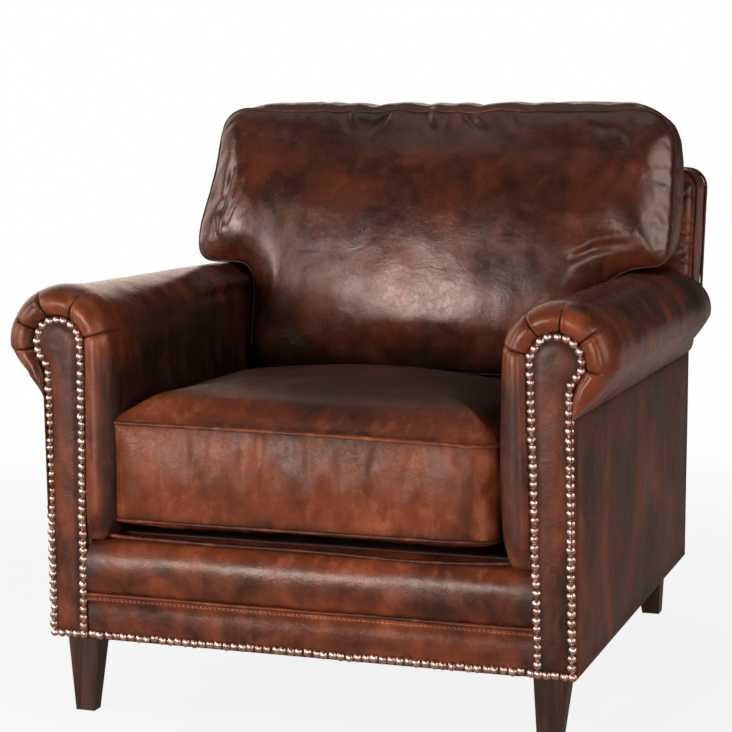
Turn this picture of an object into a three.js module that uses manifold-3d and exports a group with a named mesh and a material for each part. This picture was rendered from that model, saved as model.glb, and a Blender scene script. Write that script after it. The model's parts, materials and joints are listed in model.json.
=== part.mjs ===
// A worn leather club chair: rolled arms, a loose boxed seat cushion and a loose T-shaped back cushion.
// Millimetres, +Z up, and the front faces -Y. Left and right are as seen from the front.
// The origin is on the floor, under the middle of the chair's outline.
import * as THREE from "three";
import { mergeVertices } from "three/addons/utils/BufferGeometryUtils.js";
import Module from "manifold-3d";

const wasm = await Module();
wasm.setup();

// Driving dimensions
const WIDTH = 900; // across the arm rolls
const BODY_WIDTH = 800; // across the outside arm panels
const FRONT_Y = -465; // front face of the arm facings
const BASE_BACK_Y = 407; // outside back, up to the height where it starts to recline
const LEG_HEIGHT = 115;
const ARM_HEIGHT = 635; // top of the arm rolls
const ROLL_RADIUS = 78;
const DECK_Z = 274; // top of the seat deck
const BACK_FRAME_HEIGHT = 798;
const BACK_CUSHION_HEIGHT = 910;
const RECLINE = THREE.MathUtils.degToRad(11);
const RECLINE_Z = 480; // the outside back is upright below this height
const LEATHER = 2.6; // one layer of hide with its lining
const PANEL = 3.6; // hide stretched over card
const RAIL = 28; // thickness of the frame's timber
const GAP = 0.4; // between pieces that lie against each other
const NAIL_PITCH = 13;

// Heights and places that follow from them
const BODY_HALF = BODY_WIDTH / 2;
const ROLL_X = WIDTH / 2 - ROLL_RADIUS;
const ROLL_Z = ARM_HEIGHT - ROLL_RADIUS;
const FRAME_Z = LEG_HEIGHT + GAP; // underside of the frame
const RAIL_TOP = FRAME_Z + 100;
const RAIL_OUTER_X = BODY_HALF - PANEL - GAP; // outside of the posts and side rails
const CAP_Y = FRONT_Y + PANEL + GAP; // front of the arm leather, behind the facing
const POST_Y = FRONT_Y + 8.5; // front of the arm stumps and the front rail
const STUMP_INNER_X = 338.5;
const STUMP_OUTER_X = 387;
const POST_X = [RAIL_OUTER_X - 42, RAIL_OUTER_X]; // back post, inside and outside face
const POST_DEPTH = 46;
const ARM_INSIDE_X = 304; // inside arm at the seat deck; it leans in towards the roll
const ARM_FOOT_Z = DECK_Z + 2;
const BACK_DEPTH = 130; // upholstered back, front to rear
const BACK_HALF = 416; // upholstered back above the arms
const BACK_HALF_LOW = 290; // upholstered back between the arms
const BACK_TOP_V = (BACK_FRAME_HEIGHT - RECLINE_Z) / Math.cos(RECLINE);
const FAR = 1000; // well outside the chair, for cutting

const ARC = 9; // divisions of a curve
const COARSE_ARC = 4;

// Materials
const finish = (color, roughness, metalness = 0) =>
  new THREE.MeshStandardMaterial({ color, roughness, metalness });
const hide = finish(0x5b2c1b, 0.38);
const hideDark = finish(0x3a1f16, 0.4);
const legWood = finish(0x2c1a13, 0.35);
const frameWood = finish(0xb98f5e, 0.7);
const steel = finish(0x8d9094, 0.35, 0.9);
const nailMetal = finish(0xb9968a, 0.3, 1);
const foam = finish(0xd8c8a2, 0.95);
const burlap = finish(0x9c7d50, 0.95);
const cambric = finish(0x1d1c1b, 0.95);

// Solids, cuts and joins
function solidOf(geometry) {
  const bare = geometry.clone();
  bare.deleteAttribute("normal");
  bare.deleteAttribute("uv");
  const merged = mergeVertices(bare, 1e-4);
  return new wasm.Manifold(
    new wasm.Mesh({
      numProp: 3,
      vertProperties: merged.attributes.position.array,
      triVerts: new Uint32Array(merged.index.array),
    }),
  );
}

function geometryOf(solid) {
  const { vertProperties, triVerts } = solid.getMesh();
  const geometry = new THREE.BufferGeometry();
  geometry.setAttribute("position", new THREE.BufferAttribute(vertProperties, 3));
  geometry.setIndex(new THREE.BufferAttribute(triVerts, 1));
  geometry.computeVertexNormals();
  return geometry;
}

function cut(geometry, ...tools) {
  return geometryOf(tools.reduce((left, tool) => left.subtract(solidOf(tool)), solidOf(geometry)));
}

const join = (a, b) => geometryOf(solidOf(a).add(solidOf(b)));
const common = (a, b) => geometryOf(solidOf(a).intersect(solidOf(b)));

// Basic shapes
function block([x0, x1], [y0, y1], [z0, z1]) {
  const geometry = new THREE.BoxGeometry(x1 - x0, y1 - y0, z1 - z0);
  return geometry.translate((x0 + x1) / 2, (y0 + y1) / 2, (z0 + z1) / 2);
}

const extrude = (shape, depth, curveSegments) =>
  new THREE.ExtrudeGeometry(shape, { depth, curveSegments, bevelEnabled: false });

// A shape drawn in (x, z), as seen from the front, made solid from y0 back to y1.
function alongY(shape, [y0, y1], segments = ARC) {
  return extrude(shape, y1 - y0, segments).rotateX(Math.PI / 2).translate(0, y1, 0);
}

// A shape drawn in (y, z), as seen from the right, made solid from x0 to x1.
function alongX(shape, [x0, x1], segments = ARC) {
  const axes = new THREE.Matrix4().makeBasis(
    new THREE.Vector3(0, 1, 0),
    new THREE.Vector3(0, 0, 1),
    new THREE.Vector3(1, 0, 0),
  );
  return extrude(shape, x1 - x0, segments).applyMatrix4(axes).translate(x0, 0, 0);
}

const alongZ = (shape, [z0, z1], segments = ARC) => extrude(shape, z1 - z0, segments).translate(0, 0, z0);

// A closed outline through corners [a, b, radius]; a corner without a radius stays sharp.
function outline(corners) {
  const shape = new THREE.Shape();
  corners.forEach(([a, b, radius = 0], i) => {
    const corner = new THREE.Vector2(a, b);
    const near = (other) => {
      const towards = new THREE.Vector2(other[0], other[1]).sub(corner).setLength(radius);
      return towards.add(corner);
    };
    const start = near(corners.at(i - 1));
    const end = near(corners[(i + 1) % corners.length]);
    if (i === 0) shape.moveTo(start.x, start.y);
    else shape.lineTo(start.x, start.y);
    if (radius > 0) shape.quadraticCurveTo(corner.x, corner.y, end.x, end.y);
  });
  shape.closePath();
  return shape;
}

// The same outline on both sides of the middle, from its right half, listed from the bottom up.
function mirrored(rightHalf) {
  const leftHalf = rightHalf.map(([x, ...rest]) => [-x, ...rest]).reverse();
  return outline([...rightHalf, ...leftHalf]);
}

const bolt = (radius, length) => new THREE.CylinderGeometry(radius, radius, length, 10).rotateX(Math.PI / 2);

// The chair, and the groups that its pieces are placed in
const chair = new THREE.Group();
const sides = { left: new THREE.Group(), right: new THREE.Group() };
sides.left.scale.x = -1;
const back = new THREE.Group(); // the reclined back: local y is the way back, local z is up along the recline
back.position.set(0, BASE_BACK_Y, RECLINE_Z);
back.rotation.x = -RECLINE;
back.updateMatrix();
chair.add(sides.left, sides.right, back);

function add(parent, name, geometry, material) {
  const mesh = new THREE.Mesh(geometry, material.clone());
  mesh.name = name;
  parent.add(mesh);
}

// A piece that is modelled on the right and mirrored on the left.
function addPair(name, geometry, material) {
  for (const [side, group] of Object.entries(sides)) add(group, `${name}_${side}`, geometry, material);
}

const fromBack = (geometry) => geometry.clone().applyMatrix4(back.matrix);
const toBack = (geometry) => geometry.clone().applyMatrix4(back.matrix.clone().invert());
function mirrorShape(shape) {
  const points = shape.getPoints(ARC).map(({ x, y }) => new THREE.Vector2(-x, y));
  return new THREE.Shape(points);
}

// Legs: tapers, wider than deep at the front and raked back at the rear, each held by a hanger bolt
const BOLT_RADIUS = 4;
const BOLT_Z = [LEG_HEIGHT - 45, LEG_HEIGHT + 50];
const LEGS = {
  front: {
    top: { at: [358.5, FRONT_Y + 37], size: [51, 36] },
    foot: { at: [356.5, FRONT_Y + 26.5], size: [30, 21] },
    bolt: [357.5, FRONT_Y + 29],
  },
  back: {
    top: { at: [341, BASE_BACK_Y - 34], size: [50, 50] },
    foot: { at: [337, BASE_BACK_Y + 28], size: [30, 30] },
    bolt: [340, BASE_BACK_Y - 18],
  },
};
const boltAt = ([x, y], radius) =>
  bolt(radius, BOLT_Z[1] - BOLT_Z[0]).translate(x, y, (BOLT_Z[0] + BOLT_Z[1]) / 2);

function taper(top, foot) {
  const geometry = new THREE.BoxGeometry(1, 1, LEG_HEIGHT).translate(0, 0, LEG_HEIGHT / 2);
  const corners = geometry.attributes.position;
  for (let i = 0; i < corners.count; i++) {
    const { at, size } = corners.getZ(i) > 0 ? top : foot;
    corners.setXY(i, at[0] + corners.getX(i) * size[0], at[1] + corners.getY(i) * size[1]);
  }
  return geometry;
}

for (const [end, { top, foot, bolt: place }] of Object.entries(LEGS)) {
  addPair(`leg_${end}`, cut(taper(top, foot), boltAt(place, BOLT_RADIUS + GAP)), legWood);
  addPair(`leg_bolt_${end}`, boltAt(place, BOLT_RADIUS), steel);
}

// Timber frame
const RAIL_Z = [FRAME_Z, RAIL_TOP];
const POST_FRONT_Y = BASE_BACK_Y - PANEL - GAP - POST_DEPTH;
const STUMP_HEAD = 60; // radius of the scroll at the top of the arm stump
const STUMP_Y = [POST_Y, POST_Y + 30];

const BETWEEN_STUMPS = [-STUMP_INNER_X + GAP, STUMP_INNER_X - GAP];
add(chair, "front_rail", block(BETWEEN_STUMPS, [POST_Y, POST_Y + RAIL], RAIL_Z), frameWood);
const BETWEEN_POSTS = [-POST_X[0] + GAP, POST_X[0] - GAP];
const POST_REAR_Y = POST_FRONT_Y + POST_DEPTH;
const backRailHoles = [-1, 1].map((side) =>
  boltAt([side * LEGS.back.bolt[0], LEGS.back.bolt[1]], BOLT_RADIUS + GAP),
);
const backRail = block(BETWEEN_POSTS, [POST_REAR_Y - RAIL, POST_REAR_Y], RAIL_Z);
add(chair, "back_rail", cut(backRail, ...backRailHoles), frameWood);
const SIDE_RAIL_X = [RAIL_OUTER_X - RAIL, RAIL_OUTER_X];
addPair("side_rail", block(SIDE_RAIL_X, [STUMP_Y[1] + GAP, POST_FRONT_Y - GAP], RAIL_Z), frameWood);

const BLOCK_LEG = 90; // length of a corner block along each rail
const BLOCK_Z = [FRAME_Z, FRAME_Z + 75];
function cornerBlock(x, y, towardsY) {
  const corners = [
    [x, y],
    [x, y + towardsY * BLOCK_LEG],
    [x - BLOCK_LEG, y],
  ];
  return alongZ(outline(corners), BLOCK_Z);
}
addPair("corner_block_front", cornerBlock(SIDE_RAIL_X[0] - GAP, STUMP_Y[1] + GAP, 1), frameWood);
addPair("corner_block_back", cornerBlock(POST_X[0] - GAP, POST_REAR_Y - RAIL - GAP, -1), frameWood);

const stumpShape = new THREE.Shape();
stumpShape.moveTo(STUMP_INNER_X, FRAME_Z);
stumpShape.lineTo(STUMP_OUTER_X, FRAME_Z);
stumpShape.absarc(
  ROLL_X,
  ROLL_Z,
  STUMP_HEAD,
  -Math.acos((STUMP_OUTER_X - ROLL_X) / STUMP_HEAD),
  2 * Math.PI - Math.acos((STUMP_INNER_X - ROLL_X) / STUMP_HEAD),
);
stumpShape.closePath();
addPair("arm_stump", cut(alongY(stumpShape, STUMP_Y), boltAt(LEGS.front.bolt, BOLT_RADIUS + GAP)), frameWood);

// A point of the reclined back's side view in the chair's (y, z): w is the way back, v is up the recline.
const backPoint = (w, v) => [
  BASE_BACK_Y + v * Math.sin(RECLINE) + w * Math.cos(RECLINE),
  RECLINE_Z + v * Math.cos(RECLINE) - w * Math.sin(RECLINE),
];
const POST_W = -PANEL - GAP;
const POST_TOP_V = BACK_TOP_V - 10;
const postShape = (grow) =>
  outline([
    [POST_FRONT_Y - grow, FRAME_Z - grow],
    [POST_REAR_Y + grow, FRAME_Z - grow],
    backPoint(POST_W + grow, 0),
    backPoint(POST_W + grow, POST_TOP_V + grow),
    backPoint(POST_W - POST_DEPTH - grow, POST_TOP_V + grow),
    backPoint(POST_W - POST_DEPTH - grow, 0),
  ]);
const postRoom = alongX(postShape(GAP), [POST_X[0] - GAP, POST_X[1] + GAP]);
addPair("back_post", alongX(postShape(0), POST_X), frameWood);

const ARM_RAIL_X = [352, 392];
const ARM_RAIL_Z = [530, 560];
const armRail = block(ARM_RAIL_X, [STUMP_Y[1] + GAP, POST_FRONT_Y + 12], ARM_RAIL_Z);
addPair("arm_rail", cut(armRail, postRoom), frameWood);
addPair("arm_tack_rail", block([323, 345], [STUMP_Y[1] + GAP, POST_FRONT_Y - 26], [282, 322]), frameWood);

const BACK_RAIL_W = [POST_W - POST_DEPTH, POST_W - POST_DEPTH + RAIL];
add(back, "back_top_rail", block(BETWEEN_POSTS, BACK_RAIL_W, [POST_TOP_V - 50, POST_TOP_V]), frameWood);
add(back, "back_tack_rail", block(BETWEEN_POSTS, BACK_RAIL_W, [-135, -95]), frameWood);

// Seat springs: zig-zag wires arched from the front rail to the back rail, held in folded clip strips
const WIRE = 4;
const SPRING_COUNT = 5;
const SPRING_SPACING = 120;
const SPRING_HALF_WIDTH = 24;
const SPRING_ENDS = [POST_Y + 10, POST_REAR_Y - 10];
const SPRING_Z = RAIL_TOP + GAP + 1.6 + GAP + WIRE / 2;
const SPRING_ARCH = 18;
const ZIGZAGS = 24;

function clipStrip(y, towards) {
  const [plate, mouth, reach] = [1.6, WIRE + 2 * GAP, 14];
  const z0 = RAIL_TOP + GAP;
  const z1 = z0 + plate + mouth + plate;
  const end = y + towards * reach;
  const fold = y - towards * (WIRE / 2 + GAP);
  const corners = [
    [fold - towards * plate, z0],
    [end, z0],
    [end, z0 + plate],
    [fold, z0 + plate],
    [fold, z1 - plate],
    [y + towards * WIRE, z1 - plate],
    [y + towards * WIRE, z1],
    [fold - towards * plate, z1],
  ];
  const reachX = ((SPRING_COUNT - 1) / 2) * SPRING_SPACING + SPRING_HALF_WIDTH + 10;
  return alongX(outline(towards > 0 ? corners : corners.reverse()), [-reachX, reachX]);
}
add(chair, "spring_clip_front", clipStrip(SPRING_ENDS[0], 1), steel);
add(chair, "spring_clip_back", clipStrip(SPRING_ENDS[1], -1), steel);

class ZigZag extends THREE.Curve {
  getPoint(t, target = new THREE.Vector3()) {
    const swing = Math.cos(Math.PI * ZIGZAGS * t);
    const x = SPRING_HALF_WIDTH * Math.sign(swing) * Math.abs(swing) ** 0.6;
    const y = THREE.MathUtils.lerp(SPRING_ENDS[0], SPRING_ENDS[1], t);
    return target.set(x, y, SPRING_Z + SPRING_ARCH * (1 - (2 * t - 1) ** 2));
  }
}
const wireSection = outline([
  [-WIRE / 2, 0],
  [0, -WIRE / 2],
  [WIRE / 2, 0],
  [0, WIRE / 2],
]);
for (let i = 0; i < SPRING_COUNT; i++) {
  const spring = new THREE.ExtrudeGeometry(wireSection, { steps: ZIGZAGS * 3, extrudePath: new ZigZag() });
  spring.translate((i - (SPRING_COUNT - 1) / 2) * SPRING_SPACING, 0, 0);
  add(chair, `seat_spring_${i + 1}`, spring, steel);
}

// Seat deck and front border
const DECK_HALF = 299;
const DECK_BACK_Y = 225;
const LIP_BACK_Y = POST_Y + 37; // the border leather turns over the front edge to here
const DECK_PAD_Z = [SPRING_Z + SPRING_ARCH + WIRE, DECK_Z - LEATHER - GAP];
const BORDER_HALF = STUMP_INNER_X - 2.5;
const LOWER_WELT_Z = 184.5;
const WELT = 6.5;

add(chair, "deck_pad", block([-DECK_HALF, DECK_HALF], [LIP_BACK_Y + GAP, DECK_BACK_Y], DECK_PAD_Z), foam);
add(
  chair,
  "deck_cover",
  block([-DECK_HALF, DECK_HALF], [LIP_BACK_Y + GAP, DECK_BACK_Y], [DECK_Z - LEATHER, DECK_Z]),
  hideDark,
);

const LIP_FOAM_Z = RAIL_TOP + 10;
const lip = (inset) => [
  [POST_Y - 5.5 + inset, LIP_FOAM_Z + 14, 12],
  [POST_Y - 4 + inset, DECK_Z - inset, 18],
];
const lipBase = (inset) => [
  [LIP_BACK_Y - inset, DECK_Z - inset],
  [LIP_BACK_Y - inset, LIP_FOAM_Z],
];
const foamLip = outline([...lip(LEATHER + GAP), ...lipBase(LEATHER + GAP), [POST_Y, LIP_FOAM_Z]].reverse());
add(chair, "front_edge_roll", alongX(foamLip, [-BORDER_HALF, BORDER_HALF], COARSE_ARC), foam);

const borderSkin = outline(
  [
    [POST_Y - LEATHER - GAP, LOWER_WELT_Z + WELT / 2 + GAP],
    ...lip(0),
    [LIP_BACK_Y, DECK_Z],
    [LIP_BACK_Y, DECK_Z - LEATHER],
    ...lip(LEATHER).reverse(),
    [POST_Y - GAP, LOWER_WELT_Z + WELT / 2 + GAP],
  ].reverse(),
);
add(chair, "front_border_upper", alongX(borderSkin, [-BORDER_HALF, BORDER_HALF], COARSE_ARC), hide);
add(
  chair,
  "front_border_lower",
  block(
    [-BORDER_HALF, BORDER_HALF],
    [POST_Y - GAP - PANEL, POST_Y - GAP],
    [FRAME_Z, LOWER_WELT_Z - WELT / 2 - GAP],
  ),
  hide,
);

function welt(y, z, halfLength) {
  const cord = new THREE.CylinderGeometry(WELT / 2, WELT / 2, 2 * halfLength, 10);
  return cord.rotateZ(Math.PI / 2).translate(0, y, z);
}
add(chair, "front_welt_lower", welt(POST_Y - GAP - WELT / 2, LOWER_WELT_Z, BORDER_HALF), hideDark);
add(chair, "front_welt_upper", welt(POST_Y + 3, DECK_Z + GAP + WELT / 2, ARM_INSIDE_X - 2), hideDark);

// Arms: a foam roll on the arm rail under one hide, a nailed facing in front and a panel outside
const seamAngle = (radius) => -Math.acos((BODY_HALF - ROLL_X) / radius); // at the outside arm panel
const SEAM_Z = ROLL_Z + ROLL_RADIUS * Math.sin(seamAngle(ROLL_RADIUS));
const INSIDE_ANGLE = Math.PI + Math.atan((ARM_INSIDE_X - ROLL_X + ROLL_RADIUS) / (ROLL_Z - ARM_FOOT_Z));

// The arm's section, drawn in (x, z) for the right arm and taken in by an inset.
function armShape(inset, footZ, outerX) {
  const radius = ROLL_RADIUS - inset;
  const shape = new THREE.Shape();
  shape.moveTo(ARM_INSIDE_X + inset, footZ);
  shape.lineTo(outerX, footZ);
  if (outerX > BODY_HALF) shape.lineTo(outerX, SEAM_Z);
  if (outerX > BODY_HALF) shape.lineTo(BODY_HALF, SEAM_Z);
  shape.absarc(ROLL_X, ROLL_Z, radius, seamAngle(radius), INSIDE_ANGLE);
  shape.closePath();
  return shape;
}

const ARM_Y = [CAP_Y, BASE_BACK_Y + 60];
const behindBack = (w) => fromBack(block([-FAR, FAR], [w, FAR], [-FAR, FAR]));
const armForm = cut(alongY(armShape(0, ARM_FOOT_Z, BODY_HALF), ARM_Y), behindBack(POST_W));
const armHollow = cut(
  alongY(armShape(LEATHER, ARM_FOOT_Z - 10, BODY_HALF + 10), [ARM_Y[0] + LEATHER, ARM_Y[1]]),
  behindBack(POST_W - LEATHER),
);
const ARM_PAD_BACK_Y = 300;
// The arm's hide stops short of the back on the inside, and behind the outside arm panel.
const insideBay = block([0, POST_X[0]], [ARM_PAD_BACK_Y, FAR], [0, ARM_RAIL_Z[0] + 15]);
const outsideBay = block([0, BODY_HALF + 1], [ARM_PAD_BACK_Y, FAR], [0, SEAM_Z]);
addPair("arm_cover", cut(armForm, armHollow, postRoom, insideBay, outsideBay), hide);

const PAD_INSET = LEATHER + 1; // room for the flats of the curves
const padRadius = ROLL_RADIUS - PAD_INSET;
const padShape = new THREE.Shape();
padShape.moveTo(ARM_INSIDE_X + PAD_INSET, ARM_FOOT_Z + 4);
padShape.lineTo(322, ARM_FOOT_Z + 4);
padShape.lineTo(322, ARM_RAIL_Z[0] - 5);
padShape.lineTo(ARM_RAIL_X[0] - GAP, ARM_RAIL_Z[0] - 5);
padShape.lineTo(ARM_RAIL_X[0] - GAP, ARM_RAIL_Z[1] + GAP);
padShape.lineTo(ARM_RAIL_X[1] + GAP, ARM_RAIL_Z[1] + GAP);
padShape.lineTo(ARM_RAIL_X[1] + GAP, ARM_RAIL_Z[0] - 30);
padShape.absarc(ROLL_X, ROLL_Z, padRadius, THREE.MathUtils.degToRad(-60), INSIDE_ANGLE);
padShape.closePath();
addPair("arm_pad", alongY(padShape, [STUMP_Y[1] + GAP, ARM_PAD_BACK_Y]), foam);

addPair(
  "outside_arm",
  block(
    [BODY_HALF - PANEL, BODY_HALF],
    [CAP_Y + LEATHER + GAP, BASE_BACK_Y - PANEL - GAP],
    [FRAME_Z, SEAM_Z - GAP],
  ),
  hide,
);

// The keyhole line that the nails of a facing follow; the facing's edge lies a margin outside it.
const FACING = {
  innerX: 344,
  outerX: 394,
  ringX: 375,
  ringRadius: 36,
  neckX: 390,
  neckZ: 500,
  bottomZ: FRAME_Z + 6,
};
function facingLine(path, margin) {
  const { innerX, outerX, ringX, ringRadius, neckX, neckZ, bottomZ } = FACING;
  const radius = ringRadius + margin;
  const turn = THREE.MathUtils.degToRad(-25);
  const leave = new THREE.Vector2(ringX + radius * Math.cos(turn), ROLL_Z + radius * Math.sin(turn));
  const pull = 18;
  path.moveTo(innerX - margin, bottomZ - margin);
  path.lineTo(ringX - radius, ROLL_Z);
  path.absarc(ringX, ROLL_Z, radius, Math.PI, turn, true);
  path.bezierCurveTo(
    leave.x + pull * Math.sin(turn),
    leave.y - pull * Math.cos(turn),
    neckX + margin,
    neckZ + pull,
    neckX + margin,
    neckZ,
  );
  path.lineTo(outerX + margin, bottomZ - margin);
  return path;
}
const facingShape = facingLine(new THREE.Shape(), 5.5);
facingShape.closePath();
addPair("arm_facing", alongY(facingShape, [FRONT_Y, FRONT_Y + PANEL]), hide);

// A row of domed nails whose heads run into each other: a strip that swells at each nail.
const NAIL = { width: 11, height: 3.6, waist: 0.45 };
function nailRow(path, y) {
  const count = Math.round(path.getLength() / NAIL_PITCH);
  const points = path.getSpacedPoints(2 * count);
  const vertices = [];
  points.forEach((point, i) => {
    const ahead = points[Math.min(i + 1, 2 * count)];
    const behind = points[Math.max(i - 1, 0)];
    const along = ahead.clone().sub(behind).normalize();
    const swell = i % 2 === 0 ? 1 : NAIL.waist;
    for (const [across, rise] of [[-0.5, 0], [0.5, 0], [0.25, 1], [-0.25, 1]]) {
      const offset = across * NAIL.width * swell;
      vertices.push(point.x - along.y * offset, y - rise * NAIL.height * swell, point.y + along.x * offset);
    }
  });
  const faces = [0, 2, 1, 0, 3, 2];
  for (let i = 0; i < 2 * count; i++) {
    for (let k = 0; k < 4; k++) {
      const [a, b] = [4 * i + k, 4 * i + ((k + 1) % 4)];
      faces.push(a, b, b + 4, a, b + 4, a + 4);
    }
  }
  const last = 8 * count;
  faces.push(last, last + 1, last + 2, last, last + 2, last + 3);
  const geometry = new THREE.BufferGeometry();
  geometry.setAttribute("position", new THREE.Float32BufferAttribute(vertices, 3));
  geometry.setIndex(faces);
  return geometry;
}
const facingNails = facingLine(new THREE.Path(), 0);
facingNails.lineTo(FACING.innerX + NAIL_PITCH, FACING.bottomZ);
addPair("nail_row", nailRow(facingNails, FRONT_Y - GAP), nailMetal);
const frontNails = new THREE.Path();
const FRONT_NAIL_END = BORDER_HALF - NAIL.width / 2 - 1;
frontNails.moveTo(-FRONT_NAIL_END, FACING.bottomZ);
frontNails.lineTo(FRONT_NAIL_END, FACING.bottomZ);
add(chair, "nail_row_front", nailRow(frontNails, POST_Y - PANEL - 2 * GAP), nailMetal);

// Upholstered back: a T that stands between the arms and spreads over them
const BACK_FOOT_V = -185;
const EAR_V = 98;
const CORNER = 40;
const backTee = ({ inset, low = BACK_HALF_LOW, earV = EAR_V, footV = BACK_FOOT_V }) =>
  mirrored([
    [low - inset, footV],
    [low - inset, earV],
    [BACK_HALF - inset, earV],
    [BACK_HALF - inset, BACK_TOP_V - inset, CORNER],
  ]);
const armRoomShape = armShape(-GAP, ARM_FOOT_Z - GAP, BODY_HALF);
const armRooms = [armRoomShape, mirrorShape(armRoomShape)].map((shape) => toBack(alongY(shape, [-FAR, FAR])));
const backForm = alongY(backTee({ inset: 0 }), [-BACK_DEPTH, POST_W], COARSE_ARC);
const hollowTee = backTee({ inset: LEATHER, footV: BACK_FOOT_V - 1 });
const backHollow = alongY(hollowTee, [-BACK_DEPTH + LEATHER, FAR], COARSE_ARC);
const lowRear = [POST_W - POST_DEPTH - 1, FAR];
const behindPad = block([-BACK_HALF_LOW - 1, BACK_HALF_LOW + 1], lowRear, [-FAR, EAR_V]);
add(back, "back_cover", cut(backForm, backHollow, behindPad, ...armRooms), hide);

const PAD_EAR_V = 152; // the pad and the burlap start above the arm rolls
const BURLAP = 1.6;
const burlapW = POST_W - POST_DEPTH - GAP;
const padTee = backTee({ inset: PAD_INSET, low: BACK_HALF_LOW - 6, earV: PAD_EAR_V });
add(back, "back_pad", alongY(padTee, [-BACK_DEPTH + PAD_INSET, burlapW - BURLAP - GAP], COARSE_ARC), foam);
const burlapTee = mirrored([
  [BACK_HALF_LOW - 8, -135],
  [BACK_HALF_LOW - 8, PAD_EAR_V + 20],
  [POST_X[1], PAD_EAR_V + 20],
  [POST_X[1], POST_TOP_V],
]);
add(back, "back_burlap", alongY(burlapTee, [burlapW - BURLAP, burlapW]), burlap);

const backPanelTop = mirrored([
  [BACK_HALF - 1, -1],
  [BACK_HALF - 1, BACK_TOP_V, CORNER],
]);
const backPanelLow = block([-BODY_HALF, BODY_HALF], [BASE_BACK_Y - PANEL, BASE_BACK_Y], [FRAME_Z, RECLINE_Z]);
add(chair, "outside_back", join(backPanelLow, fromBack(alongY(backPanelTop, [-PANEL, 0], COARSE_ARC))), hide);

// Loose cushions: a foam core in a hide cover, with the zip's opening at the rear
const SEAT = { half: 294, front: FRONT_Y + 18, rear: 216, boxing: [300, 435], crown: 23, pull: 42 };
function seatForm(inset) {
  const { half, front, rear, boxing, crown, pull } = SEAT;
  const [w, y0, y1] = [half - inset - pull, front + inset + pull, rear - inset - pull];
  const face = outline([
    [w, y0, 20],
    [w, y1, 20],
    [-w, y1, 20],
    [-w, y0, 20],
  ]);
  const pad = new THREE.ExtrudeGeometry(face, {
    depth: boxing[1] - boxing[0],
    curveSegments: COARSE_ARC,
    bevelSize: pull,
    bevelThickness: crown - inset,
    bevelSegments: 3,
  });
  return pad.translate(0, 0, boxing[0]);
}
const ZIP = 12; // width of the zip's opening
const seatZip = block([-230, 230], [SEAT.rear - 20, FAR], [360, 360 + ZIP]);
add(chair, "seat_cushion_core", seatForm(LEATHER + GAP), foam);
add(chair, "seat_cushion_cover", cut(seatForm(0), seatForm(LEATHER), seatZip), hide);

// The back cushion is where its front outline, drawn in (x, z), meets its side outline, drawn in (y, z).
const SEAT_TOP = SEAT.boxing[1] + SEAT.crown;
function backCushionForm(inset) {
  const [foot, ear, top] = [SEAT_TOP + 1.5 + inset, ARM_HEIGHT + 3 + inset, BACK_CUSHION_HEIGHT - inset];
  const front = mirrored([
    [282 - inset, foot, 20],
    [282 - inset, ear],
    [404 - inset, ear, 22],
    [404 - inset, top, 70],
  ]);
  const rear = -BACK_DEPTH - 2 - inset;
  const side = outline([
    [backPoint(rear, 0)[0] - 14, foot, 12],
    [backPoint(rear, (top - RECLINE_Z) / Math.cos(RECLINE))[0] - 6, top, 40],
    [192 + inset, top, 60],
    [52 + inset, 600, 85],
    [88 + inset, foot, 45],
  ]);
  return common(alongY(front, [-FAR, FAR], COARSE_ARC), alongX(side, [-FAR, FAR], COARSE_ARC));
}
const backZip = block([-200, 200], [200, 200 + ZIP], [0, SEAT_TOP + 10]);
add(chair, "back_cushion_core", backCushionForm(LEATHER + GAP), foam);
add(chair, "back_cushion_cover", cut(backCushionForm(0), backCushionForm(LEATHER), backZip), hide);

// Dust cover under the frame, notched round the legs
const NOTCH = { front: [318, FRONT_Y + 60], back: [312, BASE_BACK_Y - 64] };
const DUST_Z = [FRAME_Z - 1.4, FRAME_Z - GAP];
const dustShape = mirrored([
  [NOTCH.front[0], POST_Y],
  [NOTCH.front[0], NOTCH.front[1]],
  [RAIL_OUTER_X, NOTCH.front[1]],
  [RAIL_OUTER_X, NOTCH.back[1]],
  [NOTCH.back[0], NOTCH.back[1]],
  [NOTCH.back[0], BASE_BACK_Y - PANEL - GAP],
]);
add(chair, "dust_cover", alongZ(dustShape, DUST_Z), cambric);

export default chair;
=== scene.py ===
"""Looks of a worn leather club chair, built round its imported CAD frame. Metres, +Z up, the front faces -Y."""
import json
import math

import bmesh
import bpy
import numpy as np
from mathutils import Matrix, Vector, noise
from mathutils.bvhtree import BVHTree


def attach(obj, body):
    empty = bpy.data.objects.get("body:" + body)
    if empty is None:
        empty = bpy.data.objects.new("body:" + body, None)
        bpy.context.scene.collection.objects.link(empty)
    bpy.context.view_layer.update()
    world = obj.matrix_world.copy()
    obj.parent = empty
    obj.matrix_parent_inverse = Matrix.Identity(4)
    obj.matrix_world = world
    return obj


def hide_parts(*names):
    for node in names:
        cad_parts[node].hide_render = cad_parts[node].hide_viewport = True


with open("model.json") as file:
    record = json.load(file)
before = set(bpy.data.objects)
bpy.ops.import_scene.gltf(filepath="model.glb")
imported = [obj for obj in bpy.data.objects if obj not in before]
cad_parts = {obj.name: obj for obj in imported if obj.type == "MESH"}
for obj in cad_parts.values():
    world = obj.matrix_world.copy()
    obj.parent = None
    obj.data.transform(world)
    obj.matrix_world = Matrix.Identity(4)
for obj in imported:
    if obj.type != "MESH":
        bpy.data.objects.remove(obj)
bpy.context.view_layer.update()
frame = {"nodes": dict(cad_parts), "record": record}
nodes = frame["nodes"]

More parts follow.
